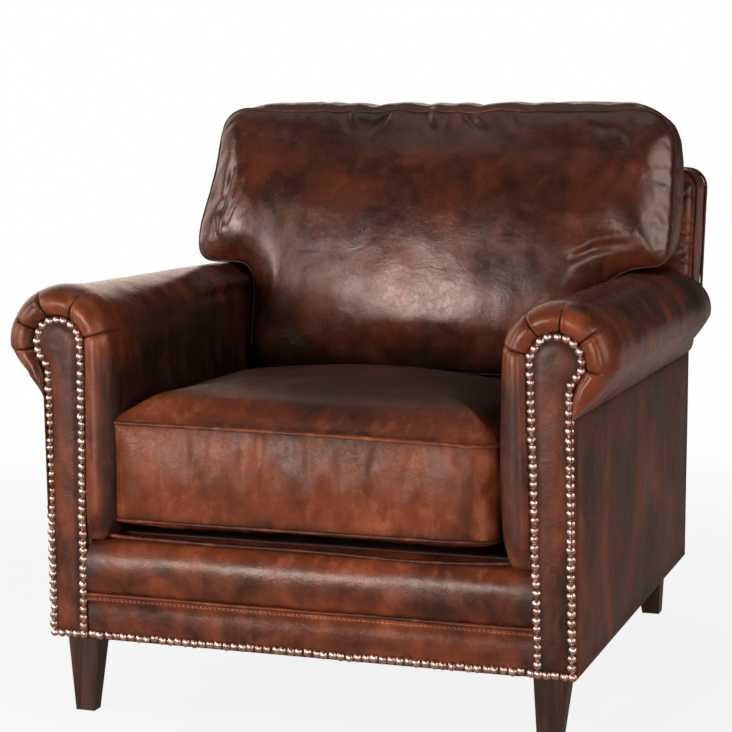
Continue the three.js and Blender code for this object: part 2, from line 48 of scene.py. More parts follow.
# Places that the CAD frame sets, in metres
FRONT_Y = -0.465          # front of the arm facings
BACK_Y = 0.407            # outside back, below the recline
HEM_Z = 0.1154            # underside of the frame
BODY_X = 0.400            # outside arm panels
SEAM_Z = 0.4842           # where an arm's roll meets the outside panel
DECK_Z, EDGE_Z = 0.274, 0.2645
LOWER_WELT_Z = 0.1825
BORDER_X = 0.3422         # half length of the front border
RECLINE, RECLINE_Z = math.radians(11), 0.480
BACK_HALF, BACK_DEPTH = 0.416, 0.130
BACK_TOP_V = (0.798 - RECLINE_Z) / math.cos(RECLINE)

# Places that the photograph sets
ROLL_Z = 0.5547                      # an arm's roll; the left one is a little larger
ROLL_X = {1: 0.3745, -1: 0.3770}
ROLL_R = {1: 0.0825, -1: 0.0860}
RING_X, RING_R = 0.3735, 0.0358      # the ring of nails on the front of a roll
RING_TURN = math.radians(-28)        # where the outer nails leave the ring
NECK_X, NECK_Z = 0.3920, 0.512
NAIL_IN_X, NAIL_OUT_X, NAIL_LOW_Z = 0.347, 0.3950, 0.1214
NAIL_PITCH, NAIL_R, NAIL_HIGH = 0.0126, 0.0064, 0.0048
SIDE_NAME = {1: "right", -1: "left"}


# Shader building

class Value:
    """A socket that can stand in a sum: an expression on values adds its Math nodes."""

    def __init__(self, tree, socket):
        self.tree, self.socket = tree, socket

    def math(self, operation, *values):
        return self.tree.node("ShaderNodeMath", {"operation": operation}, *values)

    def __add__(self, other):
        return self.math("ADD", self, other)

    def __mul__(self, other):
        return self.math("MULTIPLY", self, other)

    def __sub__(self, other):
        return self.math("SUBTRACT", self, other)

    def __rsub__(self, other):
        return self.math("SUBTRACT", other, self)

    __radd__, __rmul__ = __add__, __mul__

    def step(self, low, high):
        """0 below low, 1 above high, smooth between; low may be the larger."""
        settings = {"interpolation_type": "SMOOTHSTEP"}
        return self.tree.node("ShaderNodeMapRange", settings, self, low, high)


class Tree:
    """A material's or the world's nodes."""

    def __init__(self, owner):
        owner.use_nodes = True
        self.owner, self.nodes, self.links = owner, owner.node_tree.nodes, owner.node_tree.links
        self.nodes.clear()

    def node(self, kind, settings=None, *values, out=0, **named):
        """Makes a node: its settings, then its sockets in order or by name, and returns one output."""
        made = self.nodes.new(kind)
        for key, value in (settings or {}).items():
            if key == "stops":
                self.stops(made.color_ramp, value)
            else:
                setattr(made, key, value)
        pairs = list(enumerate(values)) + [(k.replace("_", " "), v) for k, v in named.items()]
        for key, value in pairs:
            socket = made.inputs[key]
            if isinstance(value, Value):
                self.links.new(value.socket, socket)
            elif value is not None:
                socket.default_value = value
        return Value(self, made.outputs[out]) if made.outputs else made

    @staticmethod
    def stops(ramp, stops):
        while len(ramp.elements) < len(stops):
            ramp.elements.new(0.5)
        for element, (place, colour) in zip(ramp.elements, stops):
            element.position, element.color = place, (*colour, 1)

    def mix(self, factor, a, b):
        settings = {"data_type": "RGBA"}
        full = [x if isinstance(x, Value) else (*x, 1) for x in (a, b)]
        return self.node("ShaderNodeMix", settings, factor, None, None, None, None, None, *full, out=2)

    def place(self, shift=(0, 0, 0), scale=(1, 1, 1)):
        """A point of the surface in the chair's own frame, shifted and scaled."""
        point = self.node("ShaderNodeTexCoord", None, out=3)
        return self.node("ShaderNodeMapping", None, point, shift, (0, 0, 0), scale)

    def noise(self, where, scale, detail=3, rough=0.55, warp=0.0):
        named = {"Vector": where, "Scale": scale, "Detail": detail, "Roughness": rough, "Distortion": warp}
        return self.node("ShaderNodeTexNoise", None, **named)

    def cracks(self, where, scale):
        """Distance to the nearest edge of a net of cells."""
        return self.node("ShaderNodeTexVoronoi", {"feature": "DISTANCE_TO_EDGE"}, Vector=where, Scale=scale)

    def attribute(self, name):
        return self.node("ShaderNodeAttribute", {"attribute_name": name}, out=2)

    def bump(self, height, distance, strength=1.0, under=None):
        named = {"Strength": strength, "Distance": distance, "Height": height, "Normal": under}
        return self.node("ShaderNodeBump", None, **named)

    def surface(self, **named):
        """Ends a material with one surface shader, and returns the material."""
        shader = self.node("ShaderNodeBsdfPrincipled", None, **named)
        self.node("ShaderNodeOutputMaterial", None, Surface=shader)
        return self.owner


def srgb(*levels):
    """A colour given in 0..255 screen levels, as linear light."""
    return tuple((c / 255 / 12.92) if c < 10.3 else ((c / 255 + 0.055) / 1.055) ** 2.4 for c in levels)


HIDE_BLACK = srgb(30, 16, 12)
HIDE_DARK = srgb(58, 29, 19)
HIDE_BROWN = srgb(90, 42, 24)
HIDE_RED = srgb(120, 55, 29)
HIDE_TAN = srgb(164, 92, 58)
WAX_SHEEN = (1.0, 0.80, 0.71, 1)      # the light that waxed hide throws back is warm


def hide_material(name, seed=0.0, tone=0.0, gloss=0.0, crease=1.0, stretch=(1, 1, 1), shine=0.4, vary=1.0,
                  veins=0.05, cracked=1.0):
    """Waxed brown hide: cloudy patina, fine grain and creases, lighter where the mesh stores worn places and
    painted highlights, darker where it stores dirt and painted shade.
    """
    t = Tree(bpy.data.materials.new(name))
    where = t.place((seed, seed * 1.7, -seed))
    drawn = t.place((seed, seed * 1.7, -seed), stretch)
    wear, grime = t.attribute("wear"), t.attribute("grime")
    cloud = t.noise(drawn, 5.2, 5, 0.6, 0.8)
    blotch = t.noise(drawn, 19, 4, 0.55, 0.5)
    rub = t.noise(t.place((seed, 0, 3), (1.0, 1.0, 0.35)), 40, 4, 0.6, 0.3)
    speck = t.noise(where, 170, 3, 0.6)
    depth = (cloud - 0.5) * (1.25 * vary) + (blotch - 0.5) * (0.75 * vary) + (rub - 0.5) * 0.2 + (0.5 + tone)
    # the stored marks: lighter for worn places and painted highlights, darker for dirt and painted shade
    depth = depth + wear * 0.24 - grime * 0.34
    stops = [(0.1, HIDE_BLACK), (0.36, HIDE_DARK), (0.54, HIDE_BROWN), (0.74, HIDE_RED), (1.0, HIDE_TAN)]
    patina = t.node("ShaderNodeValToRGB", {"stops": stops}, depth)
    scuffed = t.mix(rub.step(0.5, 0.72) * wear * 0.6, patina, HIDE_TAN)
    stray = t.node("ShaderNodeTexNoise", None, out=1, Vector=where, Scale=30.0, Detail=3.0)
    bent = t.node("ShaderNodeVectorMath", {"operation": "MULTIPLY_ADD"}, stray, (0.05,) * 3, where)
    pale = t.cracks(bent, 24).step(0.03, 0.004) * rub.step(0.42, 0.6) * cloud.step(0.42, 0.56)
    net = t.cracks(bent, 70)
    crackle = net.step(0.05, 0.0) * blotch.step(0.44, 0.6) * cracked
    fine_net = t.cracks(bent, 150).step(0.09, 0.0) * cloud.step(0.4, 0.6) * cracked
    colour = t.mix(pale * veins, scuffed, HIDE_TAN)
    colour = t.mix(crackle * 0.14, colour, HIDE_BLACK)
    colour = t.mix(fine_net * 0.08, colour, HIDE_BLACK)
    colour = t.mix(speck.step(0.6, 0.78) * 0.25, colour, HIDE_BLACK)
    fold = t.noise(t.place((seed, 2, seed), (1.0, 1.0, 1.5)), 24, 4, 0.55, 1.0)
    grain = t.cracks(where, 520)
    pores = t.noise(where, 1100, 2)
    relief = t.bump(fold, 0.0022 * crease, 0.6)
    relief = t.bump(1 - crackle - fine_net * 0.4, 0.0002, 0.5, under=relief)
    relief = t.bump(grain * 0.7 + pores * 0.3, 0.0004, 0.5, under=relief)
    rough = 0.34 - gloss + (blotch - 0.5) * 0.25 + grime * 0.22 + wear * 0.10
    rough = rough + (speck - 0.5) * 0.2 + crackle * 0.1
    return t.surface(Base_Color=colour, Roughness=rough, Normal=relief, **{
        "Specular IOR Level": shine, "Specular Tint": WAX_SHEEN, "IOR": 1.48})


def wood_material(name, dark, light, scale=1.0, rough=0.36):
    """Straight grain along the height, with pores and a worn sheen."""
    t = Tree(bpy.data.materials.new(name))
    where = t.place((0.3, 0.1, 0), (1, 1, 0.07))
    figure = t.noise(where, 42 * scale, 5, 0.6, 1.6)
    pores = t.noise(t.place((0, 0, 0), (1, 1, 0.03)), 420 * scale, 2)
    colour = t.mix(figure.step(0.36, 0.66), dark, light)
    colour = t.mix(pores.step(0.58, 0.7) * 0.5, colour, tuple(c * 0.5 for c in dark))
    relief = t.bump(pores * 0.6 + figure * 0.4, 0.0005, 0.4)
    return t.surface(Base_Color=colour, Roughness=figure * 0.18 + (rough - 0.09), Normal=relief, **{
        "Specular IOR Level": 0.3, "Specular Tint": WAX_SHEEN})


def metal_material(name, colour, tarnish, rough):
    """Tarnished metal: brighter where it is rubbed."""
    t = Tree(bpy.data.materials.new(name))
    where = t.place()
    patch = t.noise(where, 130, 4, 0.65)
    rub = t.noise(where, 900, 2)
    shade = t.mix(patch.step(0.42, 0.66), colour, tarnish)
    relief = t.bump(rub, 0.0002, 0.3)
    return t.surface(Base_Color=shade, Metallic=1.0, Roughness=rough + patch * 0.2, Normal=relief)


def weave_material(name, dark, light, pitch):
    """Plain woven cloth."""
    t = Tree(bpy.data.materials.new(name))
    where = t.place()
    warp, weft = (
        t.node("ShaderNodeTexWave", {"wave_type": "BANDS", "bands_direction": way}, out=1, Vector=where,
               Scale=0.3 / pitch)
        for way in "XY")
    fuzz = t.noise(where, 60, 4)
    cloth = warp * 0.5 + weft * 0.5
    colour = t.mix(cloth * 0.6 + fuzz * 0.4, dark, light)
    return t.surface(Base_Color=colour, Roughness=0.9 - cloth * 0.05, Normal=t.bump(cloth, pitch * 0.4, 0.5))


# Mesh building

def smooth(a, b, x):
    """Smoothstep of x between a and b, for arrays."""
    s = np.clip((np.asarray(x, float) - a) / (b - a), 0, 1)
    return s * s * (3 - 2 * s)


def bell(offset, width):
    """1 at no offset, falling to both sides."""
    return np.exp(-(offset / width) ** 2)


def ripple(points, scale, seed=0.0):
    """Soft noise from -1 to 1 at each point."""
    shift = Vector((seed, seed * 0.7, -seed))
    return np.array([noise.noise(Vector(p) * scale + shift) for p in points])


def ripple_grid(grid, scale, seed, stretch=(1, 1, 1)):
    """Soft noise at each point of a grid of points."""
    return ripple(grid.reshape(-1, 3) * stretch, scale, seed).reshape(grid.shape[:2])


def make_mesh(name, points, faces, material):
    """A closed mesh, with every face turned outwards."""
    mesh = bpy.data.meshes.new(name)
    mesh.from_pydata([tuple(p) for p in points], [], [tuple(f) for f in faces])
    mesh.validate()
    mesh.materials.append(material)
    mesh.shade_smooth()
    piece = bpy.data.objects.new(name, mesh)
    bpy.context.scene.collection.objects.link(piece)
    turned = bmesh.new()
    turned.from_mesh(mesh)
    bmesh.ops.recalc_face_normals(turned, faces=turned.faces)
    turned.to_mesh(mesh)
    turned.free()
    return piece


def grid_faces(rows, columns, wrap=False, start=0):
    """Quads of a grid of points that is stored row by row; wrap joins the last column to the first."""
    faces = []
    for r in range(rows - 1):
        for c in range(columns if wrap else columns - 1):
            d = (c + 1) % columns
            a, b = start + r * columns, start + (r + 1) * columns
            faces.append((a + c, a + d, b + d, b + c))
    return faces


def rim(rows, columns):
    """The points round the edge of a grid, in order."""
    loop = list(range(columns)) + [r * columns + columns - 1 for r in range(1, rows)]
    loop += [(rows - 1) * columns + c for c in range(columns - 2, -1, -1)]
    return loop + [r * columns for r in range(rows - 2, 0, -1)]


def grid_normals(grid, wrap=False):
    """Unit normals of a grid of points, rows by columns by 3."""
    if wrap:
        across = np.roll(grid, -1, 1) - np.roll(grid, 1, 1)
    else:
        across = np.gradient(grid, axis=1)
    down = np.gradient(grid, axis=0)
    normal = np.cross(across, down)
    return normal / np.maximum(np.linalg.norm(normal, axis=2, keepdims=True), 1e-9)


def paint(piece, wear, grime):
    """Stores numbers from 0 to 1 at the mesh's points, for the material to read: worn places and painted
    highlights, dirt and painted shade.
    """
    for name, values in (("wear", wear), ("grime", grime)):
        layer = piece.data.attributes.new(name, "FLOAT", "POINT")
        layer.data.foreach_set("value", np.clip(values, 0, 1).astype(np.float32))


def twice(values):
    """The same numbers for the front and for the rear of a shell."""
    return np.concatenate([np.ravel(values)] * 2)


def points_of(piece):
    flat = np.empty(len(piece.data.vertices) * 3)
    piece.data.vertices.foreach_get("co", flat)
    return flat.reshape(-1, 3)


def set_points(piece, points):
    piece.data.vertices.foreach_set("co", np.asarray(points, float).ravel())
    piece.data.update()


def resampled(points, count):
    """A line as a set number of evenly spaced points."""
    lengths = np.r_[0, np.cumsum(np.linalg.norm(np.diff(points, axis=0), axis=1))]
    places = np.linspace(0, lengths[-1], count)
    return np.stack([np.interp(places, lengths, points[:, k]) for k in range(points.shape[1])], 1)


def along(points, step, closed=False):
    """The same line with its points an even step apart."""
    points = np.asarray(points, float)
    if closed:
        points = np.vstack([points, points[:1]])
    length = np.cumsum(np.linalg.norm(np.diff(points, axis=0), axis=1))[-1]
    even = resampled(points, max(2, int(round(length / step)) + 1))
    return even[:-1] if closed else even


def tube(name, line, radius, material, closed=False, sides=10, wobble=0.12, wear=0.35, grime=0.3, beads=0):
    """A sewn-in cord along a line: round, a little uneven or drawn into beads, with its ends closed."""
    line = np.asarray(line, float)
    ahead = np.roll(line, -1, 0) - np.roll(line, 1, 0)
    if not closed:
        ahead[0], ahead[-1] = line[1] - line[0], line[-1] - line[-2]
    ahead /= np.linalg.norm(ahead, axis=1, keepdims=True)
    side = np.cross(ahead[0], (0.3, 0.2, 0.93))
    turn = np.linspace(0, 2 * math.pi, sides, endpoint=False)[:, None]
    rings = []
    for place, (point, forward) in enumerate(zip(line, ahead)):
        side = side - forward * side.dot(forward)
        side /= np.linalg.norm(side)
        size = radius * (1 + wobble * noise.noise(Vector(point) * 90))
        if beads:
            size *= 1 + 0.4 * math.sin(2 * math.pi * place / len(line) * beads)
        rings.append(point + size * (np.cos(turn) * side + np.sin(turn) * np.cross(forward, side)))
    faces = grid_faces(len(rings), sides, wrap=True)
    last = (len(rings) - 1) * sides
    if closed:
        faces += [(last + k, last + (k + 1) % sides, (k + 1) % sides, k) for k in range(sides)]
    else:
        faces += [tuple(range(sides)), tuple(range(last, last + sides))]
    piece = make_mesh(name, np.concatenate(rings), faces, material)
    count = len(piece.data.vertices)
    paint(piece, np.full(count, wear), np.full(count, grime))
    return piece


def finish_piece(piece, slot, *stands_for, fill=None):
    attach(piece, "root")
    if stands_for:
        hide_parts(*stands_for)


def reclined(x, w, v):
    """A point of the reclined back: w is the way back, v is up along the recline."""
    y = BACK_Y + v * math.sin(RECLINE) + w * math.cos(RECLINE)
    z = RECLINE_Z + v * math.cos(RECLINE) - w * math.sin(RECLINE)
    return np.stack(np.broadcast_arrays(x, y, z), -1)


def rack(points):
    """The chair's front leans a little to its left, more so higher up."""
    points = np.array(points, float)
    front = np.clip((0.40 - points[..., 1]) / 0.86, 0, 1)
    points[..., 0] -= (0.0022 + 0.0165 * np.clip(points[..., 2] - 0.12, 0, 0.5)) * front
    return points


# Arms

def bezier(a, b, c, d, count):
    t = np.linspace(0, 1, count)[:, None]
    return (1 - t) ** 3 * a + 3 * (1 - t) ** 2 * t * b + 3 * (1 - t) * t ** 2 * c + t ** 3 * d


def smooth_line(points):
    """A rounded line through points: each corner is cut three times."""
    line = np.asarray(points, float)
    for _ in range(3):
        a, b = line[:-1] * 0.75 + line[1:] * 0.25, line[:-1] * 0.25 + line[1:] * 0.75
        line = np.vstack([line[:1], np.stack([a, b], 1).reshape(-1, line.shape[1]), line[-1:]])
    return line


def facing_line(margin):
    """The keyhole line of a facing, in (x, z): up the inside, round the ring, down the outside."""
    radius = RING_R + margin
    turn = np.linspace(math.pi, RING_TURN, 60)
    ring = np.stack([RING_X + radius * np.cos(turn), ROLL_Z + radius * np.sin(turn)], 1)
    pull = 0.016
    leave = ring[-1] + pull * np.array([math.sin(RING_TURN), -math.cos(RING_TURN)])
    neck = np.array([NECK_X + margin, NECK_Z])
    down = bezier(ring[-1], leave, neck + (0, pull), neck, 14)
    foot = NAIL_LOW_Z - margin
    return np.vstack([[(NAIL_IN_X - margin, foot)], ring, down[1:], [(NAIL_OUT_X + margin, foot)]])


PLEATS = {1: (14, 54, 97, 141, 192), -1: (14, 64, 113, 152, 190)}   # degrees, from an arm's inner side
PLEAT_ENDS = (1.1, 0.9, 0.85, 0.92, 0.7)                            # 1 is the edge of the roll
ARM_GIVE = {1: 0.0, -1: 0.023}                                      # how far the inner face moves out
ARM_SAG = {1: 0.0, -1: 0.005}                                       # how far the roll sinks behind its front
ARM_START = -0.425                                                  # where the gathered front ends
ARM_TURN = 0.030                                                    # how far its rear end turns in
UNDER = math.radians(-5)                                            # below this the roll runs straight
ARM_LOW = 0.2668                                                    # where an arm's cover turns under


def arm_section(side):
    """An arm's outline in (x, z), right round, and each point's angle from the inner side in degrees."""
    fine = np.concatenate([180 - place + np.linspace(-6, 6, 41) for place in PLEATS[side]])
    turn = np.radians(np.unique(np.round(np.concatenate([np.arange(-66, 181, 1.5), fine]), 2)))
    turn = turn[(turn >= math.radians(-66)) & (turn <= math.pi)]
    middle, radius = np.array([ROLL_X[side], ROLL_Z]), ROLL_R[side]
    roll = middle + radius * np.stack([np.cos(turn), np.sin(turn)], 1)
    knee = middle + radius * np.array([math.cos(UNDER), math.sin(UNDER)])
    down = np.clip((UNDER - turn) / (UNDER - turn[0]), 0, 1)[:, None]
    chord = knee + down * (np.array([BODY_X + 0.003, SEAM_Z]) - knee)
    roll = np.where((turn < UNDER)[:, None], 0.25 * roll + 0.75 * chord, roll)
    inside = resampled(smooth_line([roll[-1], (0.2900, 0.50), (0.2880, 0.42), (0.2890, 0.33), (0.2935, 0.283),
                                    (0.304, ARM_LOW)]), 44)[1:]
    hidden = resampled(np.array([inside[-1], (0.394, ARM_LOW), (0.398, SEAM_Z - 0.008)]), 22)[1:]
    angle = np.concatenate([180 - np.degrees(turn), -1 - 0 * inside[:, 0], -400 - 0 * hidden[:, 0]])
    return np.vstack([roll, inside, hidden]), angle


def arm_front(section, angle):
    """Rows from the facing's nails out over the padded front edge: t, then points in (x, y, z)."""
    pad = smooth_line([(0, -0.4600), (0.06, -0.4625), (0.2, -0.4695), (0.42, -0.4730), (0.68, -0.4690),
                       (0.88, -0.4555), (0.975, -0.441), (1.0, -0.425)])
    pad = resampled(pad * (0.045, 1), 34) / (0.045, 1)
    line = along(facing_line(0.003), 0.0008)
    gaps = np.linalg.norm(section[:, None] - line[None], axis=2)
    target = line[gaps.argmin(1)]
    turn = np.radians(180 - angle)
    drawn = np.stack([RING_X + (RING_R + 0.003) * np.cos(turn), ROLL_Z + (RING_R + 0.003) * np.sin(turn)], 1)
    on_ring = (angle >= 0) & (turn > RING_TURN)
    target = np.where(on_ring[:, None], drawn, target)
    low = smooth(0.268, 0.305, section[:, 1])
    rows = []
    for t, y in pad:
        xz = target + (section - target) * t
        flat = np.minimum(-0.4605 + 0.0355 * max(t - 0.8, 0) / 0.2, ARM_START)
        rows.append(np.column_stack([xz[:, 0], flat + (y - flat) * low, xz[:, 1]]))
    return pad[:, 0], rows


def pleats(angle, t, side):
    """Relief of the gathered front, full pads between narrow folds, and how far in a fold each point is."""
    height, fold = np.zeros((len(t), len(angle))), np.zeros((len(t), len(angle)))
    places = np.array(PLEATS[side], float)
    edges = np.concatenate([[-30], places, [235]])
    index = np.clip(np.searchsorted(edges, angle, "right") - 1, 0, len(edges) - 2)
    u = np.clip((angle - edges[index]) / (edges[index + 1] - edges[index]), 0, 1)
    puff = np.where(angle > -1.5, np.sin(math.pi * u) ** 0.7, 0)
    height += 0.0016 * puff[None] * (1 - smooth(0.45, 1.35, t))[:, None] * smooth(0.0, 0.15, t)[:, None]
    for place, end in zip(places, PLEAT_ENDS):
        gap = np.where(angle > -1.5, (angle - place) * math.radians(1) * 0.06, 1.0)[None]
        reach = (1 - smooth(0.55 * end, 1.15 * end, t))[:, None]
        height -= reach * (0.0026 * np.exp(-np.abs(gap) / 0.0010) + 0.0008 * bell(gap, 0.005))
        height += reach * 0.0010 * bell(gap - 0.0040, 0.0025)
        fold = np.maximum(fold, reach * bell(gap, 0.0011))
    return height, fold


def arm_give(grid, side):
    """An arm's roll narrows to the rear, dips under the back cushion, and gives way beside it."""
    x, y, z = grid[..., 0], grid[..., 1], grid[..., 2]
    out = smooth(-0.02, 0.03, x - ROLL_X[side]) * smooth(SEAM_Z, SEAM_Z + 0.02, z)
    narrow = 0.24 * np.clip((y - 0.24) / 0.16, 0, 1.1) ** 1.15 * out
    grid = grid.copy()
    grid[..., 0] -= (x - ROLL_X[side]) * narrow
    grid[..., 2] -= (z - ROLL_Z) * narrow
    grid[..., 2] -= ARM_SAG[side] * smooth(0.56, 0.63, grid[..., 2]) * smooth(-0.44, -0.34, y)
    grid[..., 2] -= np.maximum(0, grid[..., 2] - 0.6330) * 0.95 * smooth(0.03, 0.14, y)
    beside = smooth(0.345, 0.300, x) * smooth(0.62, 0.59, z)
    grid[..., 0] += ARM_GIVE[side] * smooth(-0.25, 0.08, y) * beside
    return grid


def arm_grid(side):
    """An arm's cover as rows from front to rear, with each row's t and each column's angle."""
    section, angle = arm_section(side)
    front_t, rows = arm_front(section, angle)
    middle = np.array([ROLL_X[side], ROLL_Z])
    rear = BACK_Y - 0.002 + np.maximum(section[:, 1] - RECLINE_Z, 0) * math.tan(RECLINE) - ARM_TURN
    along_t = []
    for s in np.linspace(0, 1, 58)[1:] ** 1.2:
        y = ARM_START + (rear - ARM_START) * s
        rows.append(np.column_stack([section[:, 0], y, section[:, 1]]))
        along_t.append(1 + s * 16)
    for a in np.linspace(0, math.pi / 2, 10)[1:]:
        xz = section + (middle - (0, 0.02) - section) * (1 - math.cos(a)) * 0.42
        rows.append(np.column_stack([xz[:, 0], rear + ARM_TURN * math.sin(a), xz[:, 1]]))
        along_t.append(18.0)
    return arm_give(np.array(rows), side), np.concatenate([front_t, along_t]), angle


def arm_use(grid, t, fold, side):
    """Marks on an arm: lighter pad crests and front roll top, worn, with more on the left pads as a painted
    highlight; painted shade in the folds, along the nails, low down, where the cushions touch the inside, on
    the inner front band (more on the right arm) and where it tucks in beside the seat; darker towards the rear.
    """
    x, y, z = np.moveaxis(grid, -1, 0)
    crest = bell(t - 0.55, 0.35)[:, None]
    inside = smooth(0.335, 0.295, x) * smooth(0.62, 0.56, z)
    behind = smooth(-0.43, -0.30, y)
    # lighter pad crests are worn leather; the extra on the left arm's pads is a painted highlight
    wear = (0.72 - 0.18 * side) * crest * (1 - fold) + 0.25 * smooth(0.60, 0.635, z) * (1 - behind)
    # painted shade in the folds, where the cushions touch the inside, along the nails and low down; darker
    # towards the rear
    grime = 0.9 * fold + 0.75 * inside * behind + 0.35 * smooth(-0.3, 0.2, y)
    grime += 0.5 * bell(t, 0.12)[:, None] + 0.4 * smooth(0.31, 0.275, z)
    # painted shade on the inner front band, more on the right arm, and where the arm tucks in beside the seat
    inner_band_shade = smooth(0.345, 0.328, x) * smooth(0.56, 0.51, z) * (1 - behind)
    tucked_shade = smooth(0.323 + 0.004 * side, 0.304 + 0.004 * side, x)
    grime += (0.30 + 0.15 * side) * inner_band_shade + 0.9 * tucked_shade * smooth(0.56, 0.47, z)
    return wear.ravel(), grime.ravel()


def arm(side, material):
    """One padded arm: a roll whose front is gathered in pleats round the facing."""
    grid, t, angle = arm_grid(side)
    normal = grid_normals(grid, wrap=True)
    top = int(np.abs(angle - 90).argmin())
    normal *= np.sign(normal[60, top, 2])
    height, fold = pleats(angle, t, side)
    calm = 0.4 + 0.6 * smooth(0.8, 3.0, t)[:, None]
    height += ripple_grid(grid, 8, 3.0 * side, (1, 0.4, 1)) * 0.0030 * calm
    height += ripple_grid(grid, 26, 5.0 * side) * 0.0008 * calm
    height[:, angle < -300] = 0
    grid = grid + normal * height[..., None]
    count = grid.shape[1]
    faces = grid_faces(len(grid), count, wrap=True)
    faces += [tuple(range(count)), tuple(range((len(grid) - 1) * count, len(grid) * count))]
    tag = SIDE_NAME[side]
    piece = make_mesh(f"arm_{tag}", rack(grid.reshape(-1, 3) * (side, 1, 1)), faces, material)
    paint(piece, *arm_use(grid, t, fold, side))
    finish_piece(piece, "leather", f"arm_cover_{tag}", f"arm_pad_{tag}", fill=0.85)


def facing(side, material):
    """The padded keyhole panel on the front of an arm, drawn in along its nails."""
    edge = facing_line(0.0046)
    top = int(edge[:, 1].argmax())
    low, high = edge[0, 1], edge[top, 1]
    arch = ROLL_Z + (high - ROLL_Z) * np.sin(np.linspace(0, math.pi / 2 * 0.995, 40))
    heights = np.concatenate([np.linspace(low, ROLL_Z, 130)[:-1], arch])
    left = np.interp(heights, edge[:top + 1, 1], edge[:top + 1, 0])
    right = np.interp(heights, edge[top:, 1][::-1], edge[top:, 0][::-1])
    across = np.concatenate([[0], (1 - np.cos(np.linspace(0, math.pi, 29))) / 2, [1]])
    x = left[:, None] + (right - left)[:, None] * across[None]
    z = np.repeat(heights[:, None], len(across), 1)
    nails = along(np.vstack([facing_line(0.0), facing_line(0.0)[:1]]), 0.003)
    flat = np.stack([x.ravel(), z.ravel()], 1)
    gap = gap_to(nails, flat).reshape(x.shape)
    rise = 0.0040 * (1 - bell(gap, 0.010)) + 0.0012
    inset = np.minimum(x - left[:, None], right[:, None] - x)
    rise *= 0.05 + 0.95 * smooth(-0.001, 0.0040, inset)
    points = np.stack([x, FRONT_Y + 0.0015 - rise, z], 2)
    points[..., 1] += ripple_grid(points, 30, side * 7.0, (1, 1, 0.5)) * 0.0009
    points[:, [0, -1], 1] = FRONT_Y + 0.0045
    points[[0, -1], :, 1] = FRONT_Y + 0.0045
    count = len(across)
    faces = grid_faces(len(heights), count)
    loop = rim(len(heights), count)
    faces.append(tuple(loop[:1] + loop[:0:-1]))
    tag = SIDE_NAME[side]
    piece = make_mesh(f"facing_{tag}", rack(points.reshape(-1, 3) * (side, 1, 1)), faces, material)
    wear = 0.2 + 0.8 * bell(inset, 0.003)
    paint(piece, wear.ravel(), (0.6 * bell(gap - 0.005, 0.004)).ravel())
    finish_piece(piece, "leather", f"arm_facing_{tag}")


def outside_arm(side, material):
    """The flat panel outside an arm, a little full, its edges turned in."""
    depth = np.concatenate([FRONT_Y + 0.0030 + 0.03 * np.linspace(0, 1, 16)[:-1] ** 1.6,
                            np.linspace(FRONT_Y + 0.033, BACK_Y - 0.004, 84)])
    y, z = np.meshgrid(depth, np.linspace(HEM_Z, SEAM_Z, 48))
    inset = np.minimum.reduce([y - y.min(), y.max() - y, z - z.min(), z.max() - z])
    ahead = np.clip((y - y.min()) / 0.010, 0, 1)
    x = BODY_X + 0.0012 + 0.0032 * smooth(0, 0.10, inset) - 0.0032 * (1 - smooth(-0.004, 0.006, inset))
    x -= 0.0060 * (1 - np.sqrt(1 - (1 - ahead) ** 2))
    points = np.stack([x, y, z], 2)
    points[..., 0] += ripple_grid(points, 7, side * 4.0) * 0.0024 * smooth(0, 0.05, inset)
    backing = points.copy()
    backing[..., 0] = np.minimum(BODY_X - 0.0036, points[..., 0] - 0.002)
    tag = SIDE_NAME[side]
    piece = shell(f"panel_{tag}", rack(points * (side, 1, 1)), rack(backing * (side, 1, 1)), material)
    hem, front = twice(bell(inset, 0.02)), twice(smooth(-0.40, -0.46, y))
    paint(piece, 0.45 * front, 0.25 + 0.3 * hem - 0.3 * front)
    finish_piece(piece, "leather", f"outside_arm_{tag}")


def shell(name, front, rear, material):
    """A closed panel from two grids of the same size, joined round their rims."""
    rows, columns = front.shape[:2]
    size = rows * columns
    faces = grid_faces(rows, columns) + [f[::-1] for f in grid_faces(rows, columns, start=size)]
    loop = rim(rows, columns)
    for a, b in zip(loop, loop[1:] + loop[:1]):
        faces.append((a, b, b + size, a + size))
    return make_mesh(name, np.concatenate([front.reshape(-1, 3), rear.reshape(-1, 3)]), faces, material)


# Nails

def nail_head(radius, height, sides=14):
    """A domed head as rings of (x, y, z), its crown towards -Y."""
    profile = [(1.0, 0.0), (1.03, 0.16), (0.97, 0.34), (0.82, 0.62), (0.56, 0.86), (0.28, 0.97)]
    turn = np.linspace(0, 2 * math.pi, sides, endpoint=False)
    rings = [np.stack([r * radius * np.cos(turn), np.full(sides, -h * height), r * radius * np.sin(turn)], 1)
             for r, h in profile]
    points = np.concatenate(rings + [[(0, -height, 0)]])
    faces = grid_faces(len(profile), sides, wrap=True)
    last = (len(profile) - 1) * sides
    faces += [(last + k, last + (k + 1) % sides, len(points) - 1) for k in range(sides)]
    faces.append(tuple(range(sides))[::-1])
    return points, faces


def nail_row(name, places, material, stands_for):
    """Hand-set nails at (x, y, z) places, each a little out of line and out of square."""
    dice = np.random.default_rng(len(places) * 7 + 3)
    head, head_faces = nail_head(NAIL_R, NAIL_HIGH)
    points, faces = [], []
    for place in rack(places):
        tilt = dice.normal(0, 0.08, 2)
        spun = head * dice.uniform(0.93, 1.05)
        spun[:, 1] += spun[:, 0] * tilt[0] + spun[:, 2] * tilt[1]
        jitter = np.array([dice.normal(0, 0.0005), 0, dice.normal(0, 0.0005)])
        faces += [tuple(i + len(points) * len(head) for i in f) for f in head_faces]
        points.append(spun + place + jitter)
    piece = make_mesh(name, np.concatenate(points), faces, material)
    finish_piece(piece, "nail", stands_for)


